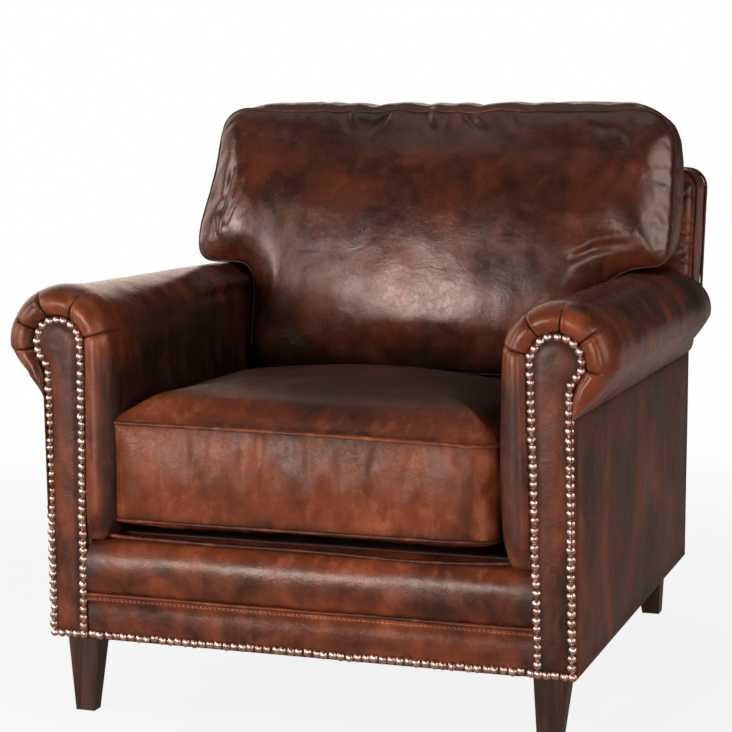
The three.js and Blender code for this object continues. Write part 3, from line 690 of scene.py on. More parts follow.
def facing_nails(side, material):
    line = facing_line(0.0)
    spots = along(line, NAIL_PITCH)
    width = line[-1, 0] - line[0, 0]
    foot = [(line[0, 0] + width * k / 4, NAIL_LOW_Z) for k in (1, 2, 3)]
    spots = np.vstack([spots, foot])
    places = np.column_stack([spots[:, 0] * side, np.full(len(spots), FRONT_Y + 0.0008), spots[:, 1]])
    tag = SIDE_NAME[side]
    nail_row(f"nails_{tag}", places, material, f"nail_row_{tag}")


def border_nails(material):
    reach = NAIL_IN_X - NAIL_PITCH
    count = int(round(2 * reach / NAIL_PITCH)) + 1
    places = [(x, FRONT_Y + 0.0045, NAIL_LOW_Z) for x in np.linspace(-reach, reach, count)]
    nail_row("nails_front", places, material, "nail_row_front")


# Front border and deck

def border_profile(name, line, material, stands_for, wear_at, fill=None, lumps=0.001, seed=1.0):
    """A band across the front, from a (y, z) line that is its outside, with a hidden back."""
    half = BORDER_X
    line = along(line, 0.003)
    xs = np.linspace(-half, half, 240)
    front = np.zeros((len(line), len(xs), 3))
    front[..., 0], front[..., 1], front[..., 2] = xs[None], line[:, 0][:, None], line[:, 1][:, None]
    normal = grid_normals(front)
    normal *= -np.sign(normal[len(line) // 3, 0, 1])
    ends = smooth(0, 0.02, half - np.abs(xs))[None]
    tucks = np.sin(np.linspace(0, math.pi, len(line)))[:, None]
    wave = ripple_grid(front, 22, seed, (0.5, 1, 1))
    fine = ripple_grid(front, 55, seed + 3, (1.0, 0.5, 0.5))
    front = front + normal * ((wave * lumps + fine * lumps * 0.3) * ends * tucks)[..., None]
    piece = shell(name, rack(front), rack(front + (0, 0.004, -0.002)), material)
    wear = np.repeat(wear_at(line)[:, None], len(xs), 1)
    # painted shade at the band's ends, where it meets the arms
    grime = 0.5 * (1 - smooth(0.0, 0.04, half - np.abs(xs)))[None] + 0 * wear
    paint(piece, twice(wear), twice(grime))
    finish_piece(piece, "leather", *stands_for, fill=fill)


def swayed(xs, pace, seed, y, z):
    """A line across the front at a height z, which sways a little as it goes."""
    sway = np.array([noise.noise(Vector((x * pace, *seed))) for x in xs])
    return rack(np.column_stack([xs, y + 0 * xs, z + sway * 0.0012]))


def front_border(material, welt_material):
    """The padded upper band, the flat lower band, and the welts that edge them."""
    y0, low_z = FRONT_Y + 0.0045, LOWER_WELT_Z
    upper = smooth_line([
        (y0 + 0.003, low_z + 0.0005), (y0 - 0.003, low_z + 0.009), (y0 - 0.0062, low_z + 0.03),
        (y0 - 0.0058, low_z + 0.052), (y0 - 0.0015, EDGE_Z - 0.016), (y0 + 0.006, EDGE_Z - 0.005),
        (y0 + 0.016, EDGE_Z + 0.0005), (y0 + 0.041, DECK_Z - 0.003)])
    lower = smooth_line([
        (y0 + 0.003, low_z - 0.0006), (y0 - 0.0022, low_z - 0.0046), (y0 - 0.0024, low_z - 0.0085),
        (y0 + 0.0005, low_z - 0.0130), (y0 - 0.001, low_z - 0.034), (y0 + 0.0012, NAIL_LOW_Z + 0.004),
        (y0 + 0.0016, NAIL_LOW_Z), (y0 + 0.001, HEM_Z + 0.0022), (y0 + 0.004, HEM_Z)])

    def upper_wear(line):
        return 0.1 + 0.6 * bell(line[:, 1] - EDGE_Z + 0.012, 0.012)

    def lower_wear_and_highlight(line):
        # lighter along the beaded ridge under the lower welt: a painted highlight
        return 0.1 + 0.9 * bell(line[:, 1] - low_z + 0.0065, 0.003)

    stands_for = ["front_border_upper", "front_edge_roll"]
    border_profile("band_upper", upper, material, stands_for, upper_wear, fill=0.8, lumps=0.0014)
    border_profile("band_lower", lower, material, ["front_border_lower"], lower_wear_and_highlight, lumps=0.0008, seed=5)
    line = swayed(np.linspace(-BORDER_X, BORDER_X, 200), 9, (0.3, 1.7), y0 - 0.0012, low_z)
    # the lower welt is painted light for the highlights along it
    cord = tube("welt_lower", line, 0.0026, welt_material, wear=0.8, grime=0.1)
    finish_piece(cord, "leather_dark", "front_welt_lower")
    reach = BORDER_X - 0.002
    line = swayed(np.linspace(-reach, reach, 720), 9, (0.3, 1.7), y0 - 0.0024, low_z - 0.0072)
    # the beaded ridge is painted light for the highlights it catches
    ridge = tube("welt_ridge", line, 0.0017, material, sides=8, wear=1.0, grime=0.0, beads=96)
    finish_piece(ridge, "leather")
    xs = np.linspace(-0.306, 0.306, 180)
    rise = 0.004 * np.abs(xs / 0.306) ** 6 - 0.003 * bell(xs - 0.16, 0.1)
    line = swayed(xs, 7, (2.3, 0.7), y0 + 0.0115, EDGE_Z + 0.0028 + rise)
    cord = tube("welt_upper", line, 0.0029, welt_material, wear=0.5, grime=0.2)
    finish_piece(cord, "leather_dark", "front_welt_upper")


def deck(material):
    """The deck under the seat cushion, painted dark as the shade under it."""
    xs, ys = np.linspace(-0.302, 0.302, 60), np.linspace(FRONT_Y + 0.043, 0.225, 60)
    x, y = np.meshgrid(xs, ys)
    z = DECK_Z - 0.0012 + 0.0012 * np.sin(x * 31) * np.sin(y * 23)
    top = np.stack([x, y, z], 2)
    piece = shell("seat_deck", top, top - (0, 0, 0.004), material)
    blank = np.zeros(len(piece.data.vertices))
    # painted shade: the deck sits in the seat cushion's shadow
    paint(piece, blank, blank + 0.9)
    finish_piece(piece, "leather_dark", "deck_cover", "deck_pad")


# Upholstered back

def back_border_line(inset, step=0.006):
    """The back's outline in (x, v): up one side from the arm roll, over the top and down the other."""
    half, top, corner = BACK_HALF - inset, BACK_TOP_V - inset, 0.034
    turn = np.linspace(0, math.pi / 2, 16)
    arc = np.stack([half - corner + corner * np.cos(turn), top - corner + corner * np.sin(turn)], 1)
    right = np.vstack([[(half, 0.115)], arc])
    both = np.vstack([right, (right * (-1, 1))[::-1]])
    return along(both, step)


def border_place(x, w, v):
    """A point of the back's border, whose top runs level from front to rear."""
    return reclined(x, w, v + w * math.tan(RECLINE) * smooth(0.12, 0.25, v))


def back_border(material, welt_material):
    """The padded border of the back: a front lip, a side band and two welts."""
    lip_w = -BACK_DEPTH
    profile = smooth_line([
        (0.095, lip_w + 0.006), (0.045, lip_w + 0.001), (0.014, lip_w + 0.002), (0.0015, lip_w + 0.012),
        (0.0025, lip_w + 0.032), (0.0045, lip_w + 0.036), (0.0005, lip_w + 0.046), (0.0, -0.060),
        (0.001, -0.014), (0.004, -0.004), (0.02, -0.002)])
    profile = along(profile, 0.004)
    grid = []
    for inset, w in profile:
        x, v = resampled(back_border_line(inset), 420).T
        grid.append(border_place(x, w, v))
    grid = np.array(grid)
    normal = grid_normals(grid)
    if normal[len(profile) // 2, 210, 2] < 0:
        normal = -normal
    lumps = ripple_grid(grid, 16, 2.0) * 0.0016
    lip = bell(profile[:, 1] + BACK_DEPTH - 0.010, 0.02)[:, None]
    tucks = np.abs(ripple_grid(grid, 42, 6.0, (0.3, 0.3, 1)))
    grid = grid + normal * (lumps - lip * 0.0018 * bell(tucks, 0.10))[..., None]
    inner = grid.copy()
    inner[..., 0] *= 0.985
    inner[..., 2] -= 0.006
    piece = shell("back_border", grid, inner, material)
    lip_all = np.repeat(lip, grid.shape[1], 1)
    crease = lip_all * bell(tucks, 0.10)
    # painted shade in the tucks of the front lip
    paint(piece, twice(0.1 + 0.2 * lip_all), twice(0.2 + 0.3 * crease))
    finish_piece(piece, "leather", "back_cover", "back_pad", fill=0.8)
    for name, inset, w in (("front", 0.0008, -BACK_DEPTH + 0.036), ("rear", 0.0004, -0.004)):
        line = back_border_line(inset)
        cord = tube(f"back_welt_{name}", border_place(line[:, 0], w, line[:, 1]), 0.0024, welt_material)
        finish_piece(cord, "leather_dark")


def outside_back(material):
    """The outside back: upright to the recline, then leaning, a little full."""
    heights = np.linspace(0, 1, 110)
    low_length, high_length = RECLINE_Z - HEM_Z, BACK_TOP_V - 0.003
    run = heights * (low_length + high_length)
    v = np.maximum(0, run - low_length)
    z_low = HEM_Z + np.minimum(run, low_length)
    half = np.interp(run, [0, low_length, low_length + 0.13, low_length + 0.14, run[-1]],
                     [BODY_X - 0.001, BODY_X - 0.001, BODY_X + 0.012, BACK_HALF - 0.003, BACK_HALF - 0.003])
    corner = 0.034
    over = np.clip(run - (run[-1] - corner), 0, corner)
    half = half - (corner - np.sqrt(np.maximum(corner ** 2 - over ** 2, 0)))
    columns = np.linspace(-1, 1, 90)
    x = half[:, None] * columns[None]
    full = 0.003 * (1 - columns[None] ** 4) * np.sin(np.pi * np.clip(heights, 0.02, 0.98))[:, None]
    y = BACK_Y + v * math.sin(RECLINE)
    z = z_low + v * math.cos(RECLINE)
    points = np.stack(np.broadcast_arrays(x, y[:, None] + full, z[:, None]), 2)
    points[..., 1] += ripple_grid(points, 6, 9.0) * 0.0018
    piece = shell("panel_back", points, points - (0, 0.0036, 0), material)
    edge = np.minimum(1 - np.abs(columns)[None] + 0 * x, np.minimum(heights, 1 - heights)[:, None])
    hem = twice(bell(edge, 0.03))
    paint(piece, 0 * hem + 0.1, 0.3 + 0.4 * hem)
    finish_piece(piece, "leather", "outside_back")


# Loose cushions

VOXEL = 0.0072            # size of a cushion's faces before they are made finer
SWELL_FRAMES = 20
SWELL_MOST = 0.024        # the farthest that filling moves a cover
INNER_X, CLEARANCE = 0.2870, 0.002      # an arm's inner face, and how far a cushion stays off it


def rounded(corners, arc=9):
    """A closed line from corners (a, b, radius)."""
    line = []
    for i, (a, b, radius) in enumerate(corners):
        corner = np.array([a, b])
        before, after = np.array(corners[i - 1][:2]), np.array(corners[(i + 1) % len(corners)][:2])
        start = corner + (before - corner) / np.linalg.norm(before - corner) * radius
        end = corner + (after - corner) / np.linalg.norm(after - corner) * radius
        t = np.linspace(0, 1, arc)[:, None]
        line.append((1 - t) ** 2 * start + 2 * (1 - t) * t * corner + t ** 2 * end)
    return np.vstack(line)


def gap_to(line, points):
    """How far each point is from a closed line, which is given as close points."""
    best = np.full(len(points), np.inf)
    for start in range(0, len(points), 2000):
        part = points[start:start + 2000]
        best[start:start + 2000] = np.sqrt(((part[:, None] - line[None]) ** 2).sum(2)).min(1)
    return best


def crown(gap, rise, reach):
    """Height of a stuffed panel at a distance in from its seam."""
    near = np.clip(gap / reach, 0, 1)
    return rise * np.sqrt(1 - (1 - near) ** 2)


def boxed_cushion(name, line, centre, front, rear, material, rings=38, sides=9):
    """A closed cushion: a front and a rear panel from place functions, with a band between."""
    scales = 1 - np.linspace(0, 1, rings, endpoint=False) ** 1.25
    panel = [centre + (line - centre) * s for s in scales]
    points = [front(centre[None])] + [front(ring) for ring in panel[::-1]]
    edge_front, edge_rear = front(line), rear(line)
    points += [edge_front + (edge_rear - edge_front) * k / sides for k in range(1, sides)]
    points += [rear(ring) for ring in panel] + [rear(centre[None])]
    count, bands = len(line), len(points) - 2
    faces = grid_faces(bands, count, wrap=True, start=1)
    faces += [(0, 1 + (k + 1) % count, 1 + k) for k in range(count)]
    last, tip = 1 + (bands - 1) * count, 1 + bands * count
    faces += [(last + k, last + (k + 1) % count, tip) for k in range(count)]
    return make_mesh(name, np.concatenate(points), faces, material)


def apply_all(piece):
    bpy.context.view_layer.update()
    made = bpy.data.meshes.new_from_object(piece.evaluated_get(bpy.context.evaluated_depsgraph_get()))
    old, piece.data = piece.data, made
    piece.modifiers.clear()
    bpy.data.meshes.remove(old)
    piece.data.shade_smooth()


def stuff(piece, seams, pressure, growth):
    """A cushion's cover made even, filled, and made finer."""
    remesh = piece.modifiers.new("even", "REMESH")
    remesh.mode, remesh.voxel_size = "VOXEL", VOXEL
    apply_all(piece)
    relax = piece.modifiers.new("ease", "SMOOTH")
    relax.factor, relax.iterations = 0.5, 4
    apply_all(piece)
    swell(piece, seams, pressure, growth)
    finer = piece.modifiers.new("finer", "SUBSURF")
    finer.levels = finer.render_levels = 1
    apply_all(piece)


def swell(piece, seams, pressure, growth):
    """Blows the hide up like a filled cover: the seams hold, the panels swell and pucker."""
    start = points_of(piece)
    hold = piece.vertex_groups.new(name="hold")
    hold.add(np.flatnonzero(gap_to(seams, start) < VOXEL * 1.1).tolist(), 1.0, "REPLACE")
    cloth = piece.modifiers.new("hide", "CLOTH")
    s = cloth.settings
    s.quality, s.mass = 5, 0.35
    s.tension_stiffness = s.compression_stiffness = 18
    s.shear_stiffness, s.bending_stiffness = 8, 1.6
    s.use_pressure, s.uniform_pressure_force = True, pressure
    s.shrink_min = -growth
    s.vertex_group_mass = "hold"
    s.effector_weights.gravity = 0
    cloth.collision_settings.use_collision = False
    cloth.point_cache.frame_start, cloth.point_cache.frame_end = 1, SWELL_FRAMES
    for step in range(1, SWELL_FRAMES + 1):
        bpy.context.scene.frame_set(step)
    apply_all(piece)
    bpy.context.scene.frame_set(1)
    moved = points_of(piece) - start
    far = np.maximum(np.linalg.norm(moved, axis=1, keepdims=True), 1e-9)
    set_points(piece, start + moved * (SWELL_MOST * np.tanh(far / SWELL_MOST) / far))


def normals_of(piece):
    flat = np.empty(len(piece.data.vertices) * 3)
    piece.data.vertex_normals.foreach_get("vector", flat)
    return flat.reshape(-1, 3)


def settle_on(piece, line, lift):
    """A closed line moved on to the piece's surface, and lifted off it a little."""
    tree = BVHTree.FromObject(piece, bpy.context.evaluated_depsgraph_get())
    out = []
    for point in line:
        spot, normal, _, _ = tree.find_nearest(Vector(point))
        out.append(np.array(spot + normal * lift))
    out = np.array(out)
    for _ in range(3):
        out = 0.5 * out + 0.25 * (np.roll(out, 1, 0) + np.roll(out, -1, 0))
    return out


def inner_side(points, side):
    """Where an arm's inner face is, at the height and depth of each point."""
    wall = INNER_X + ARM_GIVE[side] * smooth(-0.25, 0.08, points[:, 1])
    return rack(np.column_stack([wall * side, points[:, 1:]]))[:, 0]


def clear_of_arms(points, share):
    """Presses what reaches past the arms' inner faces back, by a share from 0 to 1."""
    for side in (-1, 1):
        wall = inner_side(points, side) - CLEARANCE * side
        points[:, 0] -= np.maximum(0, (points[:, 0] - wall) * side) * side * share


def piping(piece, cords, lift, material, **looks):
    """Cords sewn round a cushion's seams, each with its name, its seam and its radius."""
    for name, seam, radius in cords:
        line = settle_on(piece, along(seam, 0.006, True), lift)
        cord = tube(name, line, radius, material, closed=True, **looks)
        finish_piece(cord, "leather_dark")


SEAT_LINE = [(0.2815, -0.447, 0.045), (0.2800, 0.213, 0.03), (-0.3010, 0.213, 0.03), (-0.2940, -0.385, 0.04),
             (-0.3120, -0.450, 0.012)]
SEAT_LOW = 0.2975         # its lower seam
SEAT_FLOOR = 0.2772       # it rests on the deck here
SEAT_MOST, SEAT_REAR_FALL = 0.510, 0.055


def seat_top(x):
    """Height of the seat's upper seam, which falls to the right."""
    return 0.4330 - 0.0068 * np.clip((x + 0.3) / 0.56, 0, 1) ** 1.8


def seat_dome(x, y, inward):
    """Height of the filled top: steep at the seams, highest ahead of the middle, falling to the rear."""
    fall = np.minimum(0.6 * np.maximum(y + 0.18, 0) ** 2, 0.040) * smooth(0.0, 0.08, inward)
    return seat_top(x) + crown(inward, 0.054, 0.11) + 0.014 * smooth(0.0, 0.28, inward) - fall


def seat_relief(points, gap):
    """Relief of the seat: lumps, gathers under the front seam and two long folds."""
    x, y, z = points.T
    face = smooth(-0.405, -0.435, y) * smooth(0.30, 0.32, z) * smooth(0.44, 0.425, z)
    drop = seat_top(x) - z
    folds = bell(x + 0.068 + drop * 0.10, 0.008)
    folds += 0.6 * bell(x + 0.015 - drop * 0.3, 0.009)
    gather = ripple(points * (1, 1, 0.25), 58, 2.0) * bell(z - 0.412, 0.022)
    lumps = ripple(points, 9, 5.0) * 0.0020 + ripple(points, 30, 8.0) * 0.0005
    return lumps * smooth(0.0, 0.03, gap) + face * (gather * 0.0006 + folds * 0.0013 * smooth(0.32, 0.40, z))


def seat_use(points, gap):
    """Marks on the seat: a worn front with a painted highlight down its right corner, lighter on the left of
    the top, dark seams, and painted shade low down, at the rear, at the sides beside the arms and on the top
    towards the right.
    """
    x, y, z = points.T
    edge = bell(gap, 0.010)
    front = smooth(-0.40, -0.44, y)
    sides = smooth(0.26, 0.29, np.abs(x)) * smooth(-0.43, -0.36, y)
    # a painted highlight down the right front corner
    wear = front * (0.45 + 0.6 * bell(x - 0.258, 0.012))
    wear += 0.2 * smooth(0.05, -0.25, x) * smooth(0.43, 0.45, z)
    # painted shade low down, at the rear and beside the arms; dark seams
    grime = 0.6 * smooth(0.285, 0.277, z) + 0.5 * smooth(0.0, 0.16, y) + 0.5 * sides + 0.5 * edge
    # painted shade on the top, more towards the right
    grime += smooth(0.44, 0.46, z) * smooth(-0.44, -0.34, y) * (0.3 + 0.4 * smooth(-0.28, 0.10, x))
    return wear, grime


def seat_cushion(material, welt_material):
    """The boxed seat cushion: crowned top and bottom, full front band, piping round both edges."""
    line = along(rounded(SEAT_LINE), 0.010, closed=True)
    plan = along(line, 0.004, closed=True)
    centre = np.array([-0.006, -0.09])

    def top(ring):
        return np.column_stack([ring, seat_top(ring[:, 0]) + crown(gap_to(plan, ring), 0.044, 0.10)])

    def bottom(ring):
        return np.column_stack([ring, SEAT_LOW - crown(gap_to(plan, ring), 0.020, 0.09)])

    piece = boxed_cushion("seat_cushion", line, centre, top, bottom, material)
    seams = [top(line), bottom(line)]
    fine = np.vstack([along(seam, 0.005, closed=True) for seam in seams])
    stuff(piece, fine, pressure=3.0, growth=0.006)
    points = points_of(piece)
    x, y, z = points.T
    inward = gap_to(plan, points[:, :2])
    lid = 0.9 * smooth(0.0, 0.02, z - seat_top(x)) * smooth(0.012, 0.05, inward)
    points[:, 2] += (seat_dome(x, y, inward) - z) * lid
    set_points(piece, points)
    gap = gap_to(fine, points)
    points = points + normals_of(piece) * seat_relief(points, gap)[:, None]
    ear = bell(np.linalg.norm(points - (-0.308, -0.449, 0.434), axis=1), 0.022)
    points += ear[:, None] * (-0.004, -0.003, 0.004)
    clear_of_arms(points, smooth(-0.425, -0.395, points[:, 1]))
    rear = smooth(0.0, 0.12, points[:, 1])
    points[:, 2] = np.clip(points[:, 2], SEAT_FLOOR, SEAT_MOST - SEAT_REAR_FALL * rear)
    set_points(piece, points)
    paint(piece, *seat_use(points, gap))
    finish_piece(piece, "leather", "seat_cushion_cover", "seat_cushion_core", fill=0.75)
    cords = [("seat_piping_top", seams[0], 0.0034), ("seat_piping_bottom", seams[1], 0.0026)]
    # the seat's piping is painted light for the highlight along its cord
    piping(piece, cords, 0.0022, welt_material, wear=0.8, grime=0.1)


BACK_LINE = [(0.285, 0.462, 0.035), (0.286, 0.560, 0.02), (0.295, 0.595, 0.012), (0.316, 0.626, 0.015),
             (0.350, 0.642, 0.015), (0.408, 0.645, 0.025), (0.411, 0.74, 0.04), (0.406, 0.906, 0.078),
             (-0.395, 0.906, 0.055), (-0.397, 0.81, 0.05), (-0.425, 0.685, 0.025), (-0.418, 0.638, 0.022),
             (-0.326, 0.638, 0.02), (-0.312, 0.610, 0.02), (-0.309, 0.462, 0.035)]
BACK_LEAN = math.tan(math.radians(13))
BACK_FLOOR = 0.4570       # it rests on the seat cushion here
TOP_PUCKERS = [(-0.165, 0.895, 0.024, -0.034, 0.0034), (-0.085, 0.895, -0.034, -0.034, 0.0034),
               (-0.030, 0.895, 0.038, -0.034, 0.0044), (0.052, 0.895, 0.032, -0.040, 0.0046),
               (0.122, 0.895, 0.024, -0.032, 0.0030)]
EAR_CREASES = [(-0.366, 0.80, -0.014, -0.115, 0.0034), (-0.345, 0.785, -0.014, -0.100, 0.0026),
               (-0.388, 0.72, 0.006, -0.060, 0.0026), (0.262, 0.652, 0.100, 0.034, 0.0028),
               (0.285, 0.672, 0.075, 0.026, 0.0020), (0.372, 0.80, 0.006, -0.100, 0.0008)]


def creases(points, lines, width):
    """Relief of short drawn creases with a ridge beside each: (x, z), (run, fall) and depth."""
    height = np.zeros(len(points))
    for x, z, run, fall, depth in lines:
        length = math.hypot(run, fall)
        way = np.array([run, fall]) / length
        off = points[:, [0, 2]] - (x, z)
        part, aside = off @ way / length, off @ np.array([-way[1], way[0]])
        aside = aside + 0.10 * length * np.sin(2.6 * part + 40 * x)
        fade = smooth(-0.15, 0.1, part) * smooth(1.1, 0.35, part)
        ridge, crease = bell(aside - 1.5 * width, width), bell(aside, width)
        height += depth * fade * (0.8 * ridge - crease)
    return height


def slumped(x, z):
    """Where the back cushion's front settles: upright over the belly, leaning back above it."""
    above, below, high = np.maximum(z - 0.565, 0), np.maximum(0.565 - z, 0), np.maximum(z - 0.72, 0)
    lean = 0.8 * above ** 2 + 1.2 * high ** 2 + 0.003 * smooth(0.02, 0.11, above)
    return 0.0692 + lean + 2.5 * below ** 2 + 0.3 * (x + 0.01) ** 2


def back_plane(z):
    """Where the back cushion's front seam is, from front to rear."""
    return 0.155 + (z - 0.66) * BACK_LEAN


def back_rear(ring):
    """The back cushion's flat rear, which rests on the upholstered back."""
    z = ring[:, 1]
    y = reclined(0.0, -BACK_DEPTH - 0.004, (z - RECLINE_Z) / math.cos(RECLINE) - 0.026)[..., 1]
    return np.column_stack([ring[:, 0] * 0.965, y, z - 0.008 * smooth(0.8, 0.9, z)])


def back_relief(points, gap, face):
    """Relief of the back: puckers along the top seam, hanging folds, creased ears and lumps."""
    x, z = points[:, 0], points[:, 2]
    top = smooth(-0.25, -0.16, x) * smooth(0.27, 0.16, x) * smooth(0.80, 0.86, z) * bell(gap, 0.03)
    pucker = ripple(points * (1, 0.3, 0.25), 30, 3.0)
    hang = ripple(points * (1, 1, 0.3), 15, 6.0) * smooth(0.72, 0.62, z) * smooth(0.47, 0.53, z)
    ears = ripple(points * (1.6, 1, 0.5), 26, 9.0) * smooth(0.30, 0.37, np.abs(x)) * smooth(0.84, 0.76, z)
    lumps = ripple(points, 8, 1.0) * 0.0014 + ripple(points, 28, 4.0) * 0.0005
    drawn = creases(points, TOP_PUCKERS, 0.0075) + creases(points, EAR_CREASES, 0.008)
    push = smooth(0.0, 0.03, gap) * (lumps + face * (hang * 0.0020 + ears * 0.0014))
    return push + face * top * pucker * 0.004 + face * drawn * smooth(-0.002, 0.012, gap)


def back_use(points, gap, face):
    """Marks on the back: a worn belly, darker towards the top and on the band, painted shade at the foot where
    it sits on the seat, and dark seams.
    """
    z = points[:, 2]
    edge = bell(gap, 0.012)
    wear = 0.2 * bell(z - 0.60, 0.09) * face
    # painted shade at the foot, where the back sits on the seat
    grime = 0.35 * smooth(0.80, 0.89, z) + 0.4 * smooth(0.53, 0.47, z) + 0.3 * (1 - face) + 0.2 * edge
    return wear, grime


def back_cushion(material, welt_material):
    """The T-shaped back cushion: its ears lie on the arms, its front is full and slack at the top."""
    line = along(rounded(BACK_LINE), 0.010, closed=True)
    plan = along(line, 0.004, closed=True)
    centre = np.array([-0.006, 0.70])

    def front(ring):
        gap, x, z = gap_to(plan, ring), ring[:, 0], ring[:, 1]
        full = crown(gap, 0.052, 0.125) + 0.014 * bell(z - 0.60, 0.11) * smooth(0, 0.12, gap)
        wave = np.sin(97 * x + 1.9 * np.sin(31 * x)) * smooth(-0.24, -0.17, x) * smooth(0.19, 0.10, x)
        drop = (0.0075 + 0.0030 * wave) * smooth(0.83, 0.905, z) * smooth(0.40, 0.28, np.abs(x))
        return np.column_stack([x, back_plane(z) - full, z - drop])

    piece = boxed_cushion("back_cushion", line, centre, front, back_rear, material)
    seams = [front(line), back_rear(line)]
    fine = np.vstack([along(seam, 0.005, closed=True) for seam in seams])
    stuff(piece, fine, pressure=2.6, growth=0.008)
    points = points_of(piece)
    x, y, z = points.T
    gap = gap_to(along(seams[0], 0.005, closed=True), points)
    face = smooth(0.02, -0.005, y - back_plane(z))
    slack = face * smooth(0.015, 0.095, gap) * smooth(0.38, 0.25, np.abs(x))
    points[:, 1] += slack * (slumped(x, z) - y)
    set_points(piece, points)
    boxing = (1 - face) * smooth(0.40, 0.30, np.abs(x)) * smooth(0.0, 0.022, gap) * smooth(0.13, 0.05, gap)
    boxing = boxing * smooth(0.86, 0.885, z)
    points = points + normals_of(piece) * back_relief(points, gap, face)[:, None]
    points[:, 2] += 0.0085 * boxing
    points[:, 1] = np.minimum(points[:, 1], back_rear(points[:, [0, 2]])[:, 1] + 0.002)
    points[:, 2] = np.maximum(points[:, 2], BACK_FLOOR)
    clear_of_arms(points, smooth(0.600, 0.575, points[:, 2]))
    set_points(piece, points)
    paint(piece, *back_use(points, gap, face))
    finish_piece(piece, "leather", "back_cushion_cover", "back_cushion_core", fill=0.65)
    cords = [("back_piping_front", seams[0], 0.0024), ("back_piping_rear", seams[1], 0.0024)]
    piping(piece, cords, 0.0008, welt_material, wear=0.08, grime=0.35)


# Carried-over CAD nodes

def dress_frame():
    """Materials of the CAD nodes that stay: legs, frame, springs and cloth."""
    leg = wood_material("leg_wood", srgb(40, 23, 17), srgb(72, 42, 31), rough=0.42)
    # the frame's wood is kept dark, as painted shade where bits of it show in gaps between the covers
    beech = wood_material("frame_wood", srgb(58, 38, 25), srgb(92, 63, 40), 0.7, 0.7)
    steel = metal_material("spring_steel", srgb(150, 150, 152), srgb(90, 88, 86), 0.3)
    jute = weave_material("jute", srgb(112, 86, 52), srgb(172, 140, 92), 0.003)
    cambric = weave_material("cambric", srgb(16, 16, 17), srgb(38, 37, 37), 0.0015)
    foam = weave_material("foam", srgb(196, 180, 140), srgb(222, 210, 176), 0.004)
    slots = {"leg_wood": leg, "frame_wood": beech, "steel": steel, "burlap": jute, "dust_cloth": cambric,
             "foam": foam}
    for part in frame["record"]["subparts"]:
        material = slots.get(part["material_slot"])
        if material is None:
            continue
        piece = nodes[part["node"]]
        piece.data.materials.clear()
        piece.data.materials.append(material)
        if part["material_slot"] == "leg_wood":
            soft = piece.modifiers.new("eased", "BEVEL")
            soft.width, soft.segments, soft.limit_method = 0.0022, 3, "ANGLE"


# Stage

def ray_kind(t, *kinds):
    """1 for rays of the named kinds, and 0 for the others."""
    flags = [t.node("ShaderNodeLightPath", None, out=f"Is {kind} Ray") for kind in kinds]
    return flags[0].math("MAXIMUM", *flags) if len(flags) == 2 else flags[0]


def pale_floor():
    """A pale floor that is nearly white to the camera but keeps the chair's shadow."""
    bpy.ops.mesh.primitive_plane_add(size=60)
    floor = bpy.context.object
    floor.name = "floor"
    material = bpy.data.materials.new("floor")
    t = Tree(material)
    tone = t.noise(t.place(), 0.4, 2)
    paper = t.node("ShaderNodeBsdfDiffuse", None, t.mix(tone, (0.86,) * 3, (0.90,) * 3))
    glow = t.node("ShaderNodeEmission", None, (1, 1, 1, 1), 1.0)
    far = t.node("ShaderNodeVectorMath", {"operation": "LENGTH"}, t.place((0, 0, 0), (1, 1, 0)), out=1)
    whitened = ray_kind(t, "Camera") * (far.step(0.9, 2.6) * 0.14 + 0.86)
    seen = t.node("ShaderNodeMixShader", None, whitened, paper, glow)
    mirrored = t.node("ShaderNodeEmission", None, WAX_SHEEN, 0.3)
    both = t.node("ShaderNodeMixShader", None, ray_kind(t, "Glossy", "Transmission"), seen, mirrored)
    t.node("ShaderNodeOutputMaterial", None, Surface=both)
    floor.data.materials.append(material)


def surround():
    """White behind the chair, a warm backdrop at its left rear for the hide to mirror, and dim elsewhere."""
    world = bpy.data.worlds.new("surround")
    bpy.context.scene.world = world
    t = Tree(world)
    way = t.node("ShaderNodeTexCoord", None, out="Generated")
    across, ahead, up = (t.node("ShaderNodeSeparateXYZ", None, way, out=k) for k in range(3))
    backdrop = up.step(0.85, 0.4) * ahead.step(-0.2, 0.35) * across.step(-0.05, -0.2)
    white = t.node("ShaderNodeBackground", None, (1, 1, 1, 1), 1.0)
    warm = t.node("ShaderNodeBackground", None, (1.0, 0.80, 0.70, 1), 1.6)
    dim = t.node("ShaderNodeBackground", None, (1, 1, 1, 1), 0.04)
    room = t.node("ShaderNodeMixShader", None, backdrop, dim, warm)
    both = t.node("ShaderNodeMixShader", None, ray_kind(t, "Camera"), room, white)
    t.node("ShaderNodeOutputWorld", None, Surface=both)


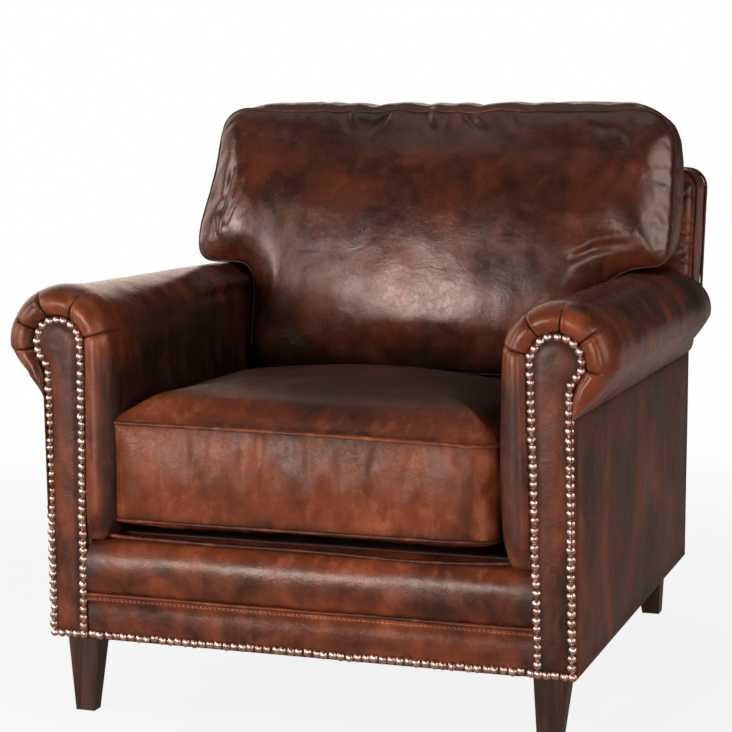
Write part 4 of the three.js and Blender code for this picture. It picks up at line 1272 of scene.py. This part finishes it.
def stage():
    """Floor, surround and soft lamps, and the photograph's camera."""
    scene = bpy.context.scene
    scene.view_settings.view_transform = "Standard"
    pale_floor()
    surround()
    lamp("overhead", (0.0, 0.2, 3.2), (0, 0, 0.3), (2.4, 1.8), 8)
    lamp("front_low", (-1.4, -4.1, 0.82), (0, 0, 0.55), (1.8, 1.0), 98)
    lamp("left_side", (-3.0, -1.6, 1.3), (0, 0, 0.5), (0.9, 1.8), 38)
    lamp("right_side", (3.9, -1.3, 1.6), (0, 0, 0.5), (2.6, 2.4), 66)
    lamp("right_strip", (1.95, -3.6, 0.55), (0, -0.3, 0.45), (0.35, 1.1), 24)
    camera = bpy.data.cameras.new("photo_camera")
    camera.lens, camera.sensor_width = 98.77, 36
    view = bpy.data.objects.new("photo_camera", camera)
    view.location = (0.9815, -3.0985, 0.8737)
    view.rotation_euler = (math.radians(90 - 6.84), 0, math.radians(18.62))
    scene.collection.objects.link(view)
    scene.camera = view


def lamp(name, place, aim, size, power):
    light = bpy.data.lights.new(name, "AREA")
    light.shape, light.size, light.size_y, light.energy = "RECTANGLE", size[0], size[1], power
    piece = bpy.data.objects.new(name, light)
    piece.location = place
    piece.rotation_euler = (Vector(aim) - Vector(place)).to_track_quat("-Z", "Y").to_euler()
    bpy.context.scene.collection.objects.link(piece)


hide = hide_material("hide", tone=0.02, gloss=0.07, shine=0.5, crease=0.45, cracked=0.6)
hide_arm = hide_material("hide_arm", seed=3.1, tone=0.0, stretch=(0.8, 1.2, 0.8), gloss=0.12, crease=0.35,
                         shine=0.40, cracked=0.6)
hide_facing = hide_material("hide_facing", seed=5.7, tone=-0.05, stretch=(1, 1, 0.6), crease=0.6, shine=0.3,
                            vary=1.3)
hide_side = hide_material("hide_side", seed=8.3, tone=0.02, stretch=(0.9, 0.9, 0.55), shine=0.2)
hide_seat = hide_material("hide_seat", seed=11.9, tone=0.03, gloss=0.03, crease=0.45, shine=0.30, vary=0.7,
                          veins=0.35)
hide_back = hide_material("hide_back", seed=14.2, tone=-0.085, gloss=0.09, shine=0.82, crease=0.45, vary=0.65,
                          veins=0.0, cracked=0.6)
hide_welt = hide_material("hide_welt", seed=2.2, tone=-0.04)
nail_metal = metal_material("nail_metal", srgb(226, 194, 180), srgb(160, 122, 106), 0.24)

for hand in (-1, 1):
    arm(hand, hide_arm)
    facing(hand, hide_facing)
    outside_arm(hand, hide_side)
    facing_nails(hand, nail_metal)
border_nails(nail_metal)
front_border(hide, hide_welt)
deck(hide_welt)
back_border(hide_arm, hide_welt)
outside_back(hide_side)
seat_cushion(hide_seat, hide_welt)
back_cushion(hide_back, hide_welt)
dress_frame()
stage()
